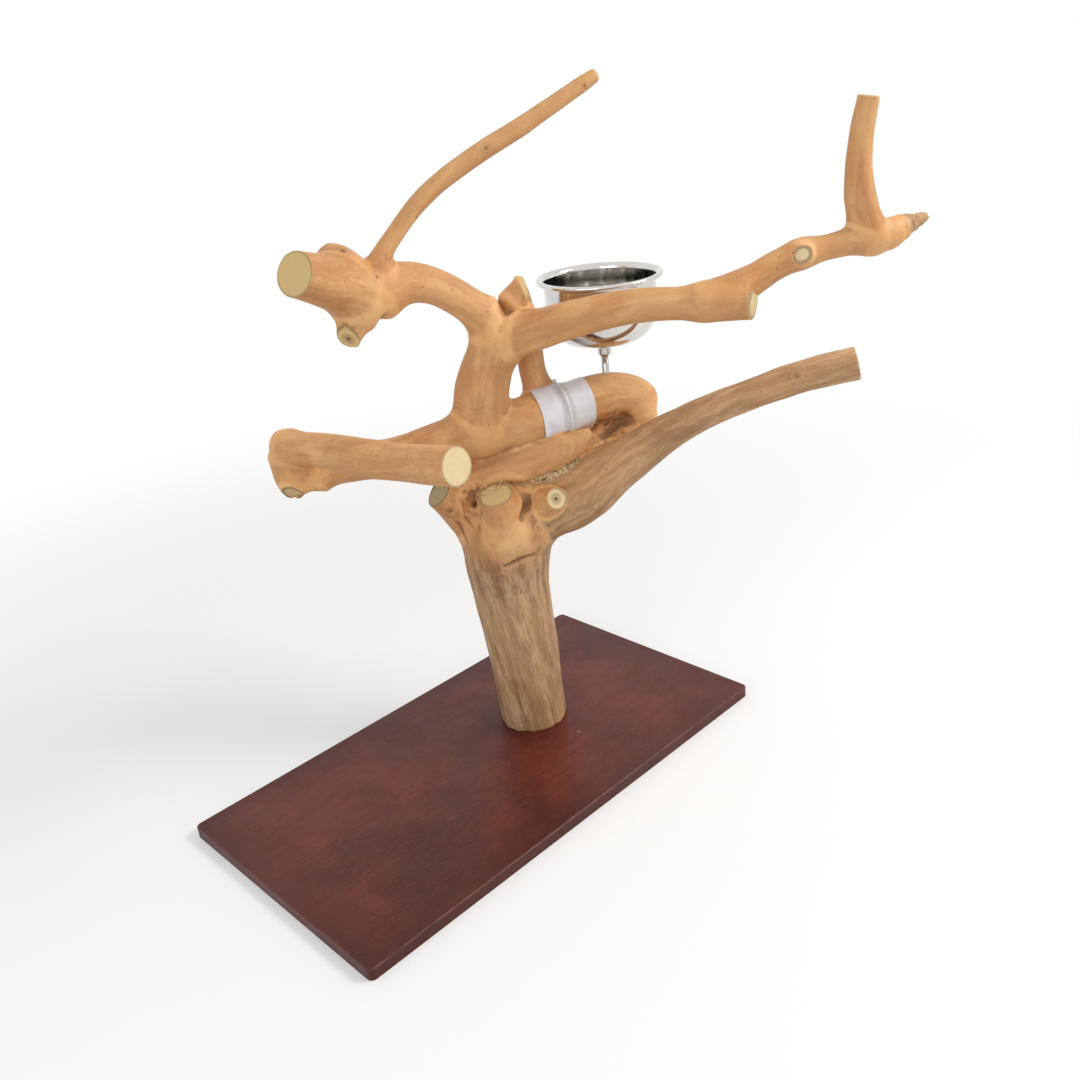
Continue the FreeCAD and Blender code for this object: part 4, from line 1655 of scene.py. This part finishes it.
@dataclass
class FoodCup:
    """The steel cup with its bolt, and the post and coupling that carry it."""

    axis: Vector = field(default_factory=lambda: Vector((0.204, -0.030, 0.0)))
    bowl_foot: float = 0.4325
    height: float = 0.0705
    width: float = 0.116
    corner: float = 0.034
    wall: float = 0.0009
    rim_width: float = 0.131
    bead: float = 0.0024
    post_thick: float = 0.0078
    post_foot: float = 0.376
    skirt_foot: float = 0.4165
    skirt: float = 0.0035
    barrel: float = 0.0112
    coupling_thick: float = 0.0138
    disc: float = 0.024
    disc_thick: float = 0.001
    bore: float = 0.00306
    bore_depth: float = 0.0085
    seat: float = 0.0006
    seat_edge: tuple = (0.017, 0.019)
    flare: float = 0.0045

    def bowl(self) -> bpy.types.Object:
        """Spin the bowl with its flange and rolled lip."""
        half = self.width / 2
        floor = self.bowl_foot
        top = floor + self.height
        centre = half - self.corner
        bead = (self.rim_width / 2 - self.bead, top - self.bead)
        inner_seat, outer_seat = self.seat_edge
        outside = [(0.0, floor + self.seat), (inner_seat, floor + self.seat), (outer_seat, floor)]
        outside += arc((centre, floor + self.corner), self.corner, 270, 360, 18)
        outside += arc((half + self.flare, top - 0.0078), self.flare, 180, 95, 7)
        lip = arc(bead, self.bead, 215, 450, 16)
        inner = arc((half + self.flare, top - 0.0054), 0.0054, 90, 180, 7)
        inner += arc((centre, floor + self.corner), self.corner - self.wall, 360, 270, 18)
        inner += [
            (outer_seat, floor + self.wall),
            (inner_seat, floor + self.wall + self.seat),
            (0.0, floor + self.wall + self.seat),
        ]
        piece = turned("spun_bowl", outside + lip + inner, self.axis, 128)
        soften(piece, 40)
        return piece

    def fitting(self) -> bpy.types.Object:
        """Turn the coupling: a tapered skirt, a barrel with eased edges and a blind bore."""
        half = self.coupling_thick / 2
        low = self.skirt_foot
        mid = low + self.skirt
        top = mid + self.barrel
        ease = 0.0005
        profile = [(0.0, low), (self.post_thick / 2, low), (half - 0.0002, mid - 0.0002)]
        profile += [(half, mid + 0.0002), (half, top - ease), (half - ease, top)]
        profile += [(0.0033, top), (self.bore, top - 0.0003)]
        profile += [(self.bore, top - self.bore_depth), (0.0, top - self.bore_depth)]
        piece = turned("post_coupling", profile, self.axis, 64)
        soften(piece, 25)
        return piece

    def rod(self) -> bpy.types.Object:
        """Turn the post, with its rolled thread's shallow rings near the top."""
        half = self.post_thick / 2
        foot, top, ease = self.post_foot, self.skirt_foot, 0.0004
        profile = [(0.0, foot), (half - ease, foot), (half, foot + ease)]
        profile += rings(half, 0.0003, top - 0.007, top - 0.0012)
        profile += [(half, top - ease), (half - ease, top), (0.0, top)]
        piece = turned("post_rod", profile, self.axis, 48)
        soften(piece, 40)
        return piece

    def bolt(self) -> bpy.types.Object:
        """Turn the disc and the ringed stem under the bowl."""
        top = self.bowl_foot
        low = top - self.disc_thick
        half = 0.003
        edge, ease = self.disc / 2, 0.0003
        profile = [(0.0, low - 0.008), (half - 0.0006, low - 0.008)]
        profile += rings(half, 0.0004, low - 0.0074, low - 0.001)
        profile += [(half, low), (edge - ease, low), (edge, low + ease)]
        profile += [(edge - ease, top), (0.0, top)]
        piece = turned("cup_stem", profile, self.axis, 48)
        soften(piece, 35)
        return piece

    def make(self) -> None:
        """Make the cup, its bolt, the coupling and the post, and finish them."""
        mirror = Steel("mirror_steel", rgb(214, 212, 208), 0.06, 0.16, 0.00002)
        lathe = Steel("turned_steel", rgb(196, 193, 188), 0.2, 0.34, 0.00005)
        bright = mirror.make(self.axis)
        dull = lathe.make(self.axis)
        plan = (
            (self.bowl(), "cup_bowl", "cup", "cup_steel", bright),
            (self.bolt(), "cup_bolt", "cup_bolt", "rod_steel", dull),
            (self.fitting(), "cup_coupling", "stand", "rod_steel", dull),
            (self.rod(), "cup_post", "stand", "rod_steel", dull),
        )
        for piece, node, body, slot, material in plan:
            piece.data.materials.append(material)
            dress(piece, body, slot, node)


# ------------------------------------------------------------------ the tag
@dataclass
class LimbTag:
    """The folded paper round the crossing limb, with its tape and its tie."""

    first: Vector = field(default_factory=lambda: Vector((0.105, 0.004, 0.368)))
    middle: Vector = field(default_factory=lambda: Vector((0.148, -0.013, 0.371)))
    last: Vector = field(default_factory=lambda: Vector((0.199, -0.033, 0.374)))
    radius: float = 0.025
    length: float = 0.060
    paper: float = 0.0004
    lift: float = 0.0007
    overlap: float = 0.0006
    clear: float = 0.0295
    rows: int = 120
    columns: int = 21
    tape_width: float = 0.014
    tie_width: float = 0.0026
    tie_thick: float = 0.0011
    head_angle: float = math.radians(104)
    head_size: tuple = (0.0046, 0.0050, 0.0042)
    tie_seat: float = 0.0016

    def frame_at(self, along: float) -> tuple[Vector, Vector, Vector, Vector]:
        """The limb's axis a way from the tag's middle.

        Args:
            along: how far, in metres; below zero towards the upright.

        Returns:
            The point, the run, the way up and the way towards the viewer.
        """
        ahead = (self.last - self.middle).normalized()
        behind = (self.middle - self.first).normalized()
        share = min(max((along + 0.02) / 0.04, 0.0), 1.0)
        way = behind.lerp(ahead, share).normalized()
        point = self.middle + (ahead if along > 0 else behind) * along
        up = (Vector((0, 0, 1)) - way * way.z).normalized()
        return point, way, up, way.cross(up)

    def girth(self, timber: bpy.types.Object, along: float, angle: float) -> float:
        """How far the timber's skin is from the limb's axis.

        Args:
            timber: the carved timber.
            along: how far from the tag's middle.
            angle: the way out, in radians from the front towards the top.

        Returns:
            The distance in metres, or the limb's radius where another limb is in the way.
        """
        point, _, up, out = self.frame_at(along)
        ray = out * math.cos(angle) + up * math.sin(angle)
        hit, place, _, _ = timber.ray_cast(point + ray * self.clear, -ray)
        far = (place - point).dot(ray) if hit else 0.0
        return far if far > self.radius * 0.85 else self.radius

    def measured(self, timber: bpy.types.Object) -> np.ndarray:
        """Measure the timber under the tag, as a stiff sheet would lie on it.

        Args:
            timber: the carved timber.

        Returns:
            A table of distances from the axis, one row an angle and one column a place along.
        """
        turns = np.linspace(0.0, math.tau, self.rows, endpoint=False)
        places = np.linspace(-0.5, 0.5, self.columns) * self.length
        table = np.array([[self.girth(timber, along, turn) for along in places] for turn in turns])
        for _ in range(3):
            near = [np.roll(table, step, axis=0) for step in (-1, 0, 1)]
            table = np.max(near, axis=0)
        for _ in range(8):
            table = (np.roll(table, 1, axis=0) + table * 2 + np.roll(table, -1, axis=0)) / 4
            padded = np.pad(table, ((0, 0), (1, 1)), mode="edge")
            table = (padded[:, :-2] + table * 2 + padded[:, 2:]) / 4
        return table

    def around(self, table: np.ndarray, along: float, angle: float) -> float:
        """Read the measured distance at a place along and an angle in radians."""
        row = int(round(angle / math.tau * self.rows)) % self.rows
        column = (along / self.length + 0.5) * (self.columns - 1)
        return float(np.interp(column, np.arange(self.columns), table[row]))

    def sleeve(
        self,
        name: str,
        table: np.ndarray,
        width: float,
        lift: float,
        thick: float,
        ends: tuple[float, float],
    ) -> bpy.types.Object:
        """Wrap a strip round the limb.

        Args:
            name: the piece's name.
            table: the measured timber.
            width: how wide the strip is along the limb.
            lift: how far its middle is off the timber.
            thick: how thick it is.
            ends: the angles where it starts and ends, in degrees from the front towards the top.

        Returns:
            The strip, as a closed thin solid.
        """
        deselect()
        bpy.ops.mesh.primitive_grid_add(x_subdivisions=24, y_subdivisions=96, size=1.0)
        piece = bpy.context.object
        start, end = (math.radians(angle) for angle in ends)
        for vertex in piece.data.vertices:
            along = vertex.co.x * width
            angle = start + (end - start) * (vertex.co.y + 0.5)
            point, _, up, out = self.frame_at(along)
            away = self.around(table, along, angle) + lift
            away += 0.0003 * math.sin(angle * 5.0 + along * 90.0) * math.sin(along * 120.0 + 1.0)
            away += self.overlap * max(0.0, (angle - end) / 0.6 + 1.0)
            vertex.co = point + (out * math.cos(angle) + up * math.sin(angle)) * away
        settle(piece, name)
        modify(piece, "SOLIDIFY", thickness=thick, offset=0.0)
        apply_all(piece)
        face_outwards(piece)
        soften(piece, 50)
        return piece

    def tie(self, table: np.ndarray) -> bpy.types.Object:
        """Make the tie: a thin strap round the tag, and a square head with a slot through it.

        Args:
            table: the measured timber.

        Returns:
            The tie.
        """
        point, way, up, out = self.frame_at(0.0)
        turn = Matrix((way, up, out)).transposed().to_4x4()
        away = float(table.mean()) + self.lift + self.tie_seat
        deselect()
        bpy.ops.mesh.primitive_cylinder_add(
            vertices=72, radius=away + self.tie_thick, depth=self.tie_width, end_fill_type="NOTHING"
        )
        strap = bpy.context.object
        modify(strap, "SOLIDIFY", thickness=self.tie_thick, offset=-1.0)
        modify(strap, "BEVEL", width=0.0003, segments=2)
        apply_all(strap)
        lay = Matrix.Rotation(math.radians(90), 4, "Y")
        strap.matrix_world = Matrix.Translation(point) @ turn @ lay
        settle(strap, "tie_strap")
        ray = (out * math.cos(self.head_angle) + up * math.sin(self.head_angle)).normalized()
        seat = point + ray * (away + 0.0022)
        head_turn = Matrix((way, ray.cross(way), ray)).transposed().to_4x4()
        deselect()
        bpy.ops.mesh.primitive_cube_add(size=1.0)
        head = bpy.context.object
        head.scale = self.head_size
        bpy.ops.object.transform_apply(location=False, rotation=False, scale=True)
        bpy.ops.object.mode_set(mode="EDIT")
        bpy.ops.mesh.select_mode(type="FACE")
        bpy.ops.mesh.select_all(action="DESELECT")
        shape = bmesh.from_edit_mesh(head.data)
        for face in shape.faces:
            face.select = abs(face.normal.y) > 0.9
        bmesh.update_edit_mesh(head.data)
        bpy.ops.mesh.inset(thickness=0.001, depth=0.0, use_individual=True)
        bpy.ops.mesh.inset(thickness=0.0002, depth=-0.001, use_individual=True)
        bpy.ops.object.mode_set(mode="OBJECT")
        modify(head, "BEVEL", width=0.0005, segments=3)
        apply_all(head)
        head.matrix_world = Matrix.Translation(seat) @ head_turn
        settle(head, "tie_head")
        whole = join([strap, head], "nylon_tie")
        face_outwards(whole, 1e-7)
        soften(whole, 35)
        return whole

    def make(self, effects: Effects, timber: bpy.types.Object) -> None:
        """Make the tag, its tape and its tie, and finish them.

        Args:
            effects: the shared node groups.
            timber: the carved timber that they are wrapped round.
        """
        paper = PlainSheet("tag_paper", rgb(232, 232, 236), rgb(206, 206, 214), 0.55, coat=0.3)
        tape = PlainSheet(
            "clear_tape", rgb(236, 236, 238), rgb(214, 214, 220), 0.1, alpha=0.22, coat=0.6
        )
        nylon = PlainSheet("white_nylon", rgb(230, 230, 226), rgb(208, 208, 204), 0.35)
        table = self.measured(timber)
        sheet = self.sleeve("paper_sleeve", table, self.length, self.lift, self.paper, (-160, 215))
        strip = self.sleeve(
            "tape_strip", table, self.tape_width, self.lift + 0.0006, 0.0002, (-162, 212)
        )
        plan = (
            (sheet, "paper_tag", "tag_paper", paper),
            (strip, "tag_tape", "tape", tape),
            (self.tie(table), "cable_tie", "tie", nylon),
        )
        for piece, node, slot, look in plan:
            piece.data.materials.clear()
            piece.data.materials.append(look.make(effects))
            dress(piece, "stand", slot, node)


# ------------------------------------------------------------------ the board and its screws
@dataclass
class Board:
    """The stained board and the screws in its underside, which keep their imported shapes."""

    length: float = 0.560
    width: float = 0.305
    thick: float = 0.013
    screw_axis: Vector = field(default_factory=lambda: Vector((0.085, 0.012, 0.0)))

    def make(self, effects: Effects) -> None:
        """Finish the board and the screws.

        Args:
            effects: the shared node groups.
        """
        stain = StainedBoard().make(effects, (self.length / 2, self.width / 2), self.thick)
        zinc = Steel("plated_steel", rgb(186, 182, 160), 0.3, 0.45, 0.00003)
        plated = zinc.make(self.screw_axis)
        for node, material in (("base_board", stain), ("foot_screws", plated)):
            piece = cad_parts[node]
            piece.data.materials.clear()
            piece.data.materials.append(material)
            LOG.info("%s is finished", node)


# ------------------------------------------------------------------ the studio
@dataclass(frozen=True)
class Lamp:
    """A soft square lamp: its place, what it points at, its side, its power in watts, its tint."""

    name: str
    place: tuple[float, float, float]
    aim: tuple[float, float, float]
    size: float
    power: float
    tint: tuple[float, float, float]

    def hang(self) -> None:
        """Hang the lamp."""
        deselect()
        bpy.ops.object.light_add(type="AREA", location=self.place)
        lamp = bpy.context.object
        lamp.name = self.name
        lamp.data.shape = "SQUARE"
        lamp.data.size = self.size
        lamp.data.energy = self.power
        lamp.data.color = self.tint
        way = Vector(self.aim) - Vector(self.place)
        lamp.rotation_euler = way.to_track_quat("-Z", "Y").to_euler()


LAMPS = (
    Lamp("key_lamp", (1.25, -1.35, 1.75), (0.05, 0, 0.3), 0.7, 26.0, (1.0, 0.97, 0.93)),
    Lamp("fill_lamp", (-1.7, -0.7, 1.2), (0.05, 0, 0.35), 1.4, 9.0, (0.95, 0.97, 1.0)),
)


@dataclass
class Studio:
    """A plain pale floor, soft lamps and the light of the room."""

    floor_size: float = 60.0
    near_edge: float = 0.55
    far_edge: float = 1.5
    near_glow: float = 0.22
    floor_tint: tuple = rgb(226, 226, 226)
    room: float = 0.62

    def floor(self) -> None:
        """Lay the floor. It is seen white where no shadow falls, and far off it is plain white."""
        deselect()
        bpy.ops.mesh.primitive_plane_add(size=self.floor_size, location=(0, 0, -0.0002))
        floor = settle(bpy.context.object, "floor")
        finish = Finish("pale_floor", 0.9)
        wire = finish.wire
        seen = wire.shown()
        away = wire.node("ShaderNodeVectorMath", operation="LENGTH")
        wire.link(finish.object_place(), away.inputs[0])
        far = wire.span(away.outputs["Value"], self.near_edge, self.far_edge)
        finish.colour(wire.blend(wire.times(far, seen), self.floor_tint, (0, 0, 0, 1)))
        glow = wire.math("ADD", self.near_glow, wire.times(far, 1.0 - self.near_glow))
        finish.shader.inputs["Emission Color"].default_value = (1, 1, 1, 1)
        wire.link(wire.times(glow, seen), finish.shader.inputs["Emission Strength"])
        finish.shader.inputs["Specular IOR Level"].default_value = 0.0
        floor.data.materials.append(finish.material)

    def make(self) -> None:
        """Make the floor, the lamps and the room's light."""
        self.floor()
        for lamp in LAMPS:
            lamp.hang()
        world = bpy.data.worlds.new("room")
        bpy.context.scene.world = world
        world.use_nodes = True
        wire = Wiring(world.node_tree)
        backdrop = world.node_tree.nodes["Background"]
        seen = wire.shown()
        backdrop.inputs["Color"].default_value = (1, 1, 1, 1)
        strength = wire.math("ADD", self.room, wire.times(seen, 1.0 - self.room))
        wire.link(strength, backdrop.inputs["Strength"])


# ------------------------------------------------------------------ the whole
def main() -> None:
    """Build every sub-assembly in order."""
    logging.basicConfig(level=logging.INFO, format="%(name)s: %(message)s")
    bpy.context.scene.view_settings.view_transform = "Standard"
    Viewpoint().set_camera()
    effects = Effects()
    Board().make(effects)
    timber = Timber().make(effects)
    FoodCup().make()
    LimbTag().make(effects, timber)
    Studio().make()
    deselect()


if __name__ == "__main__":
    main()
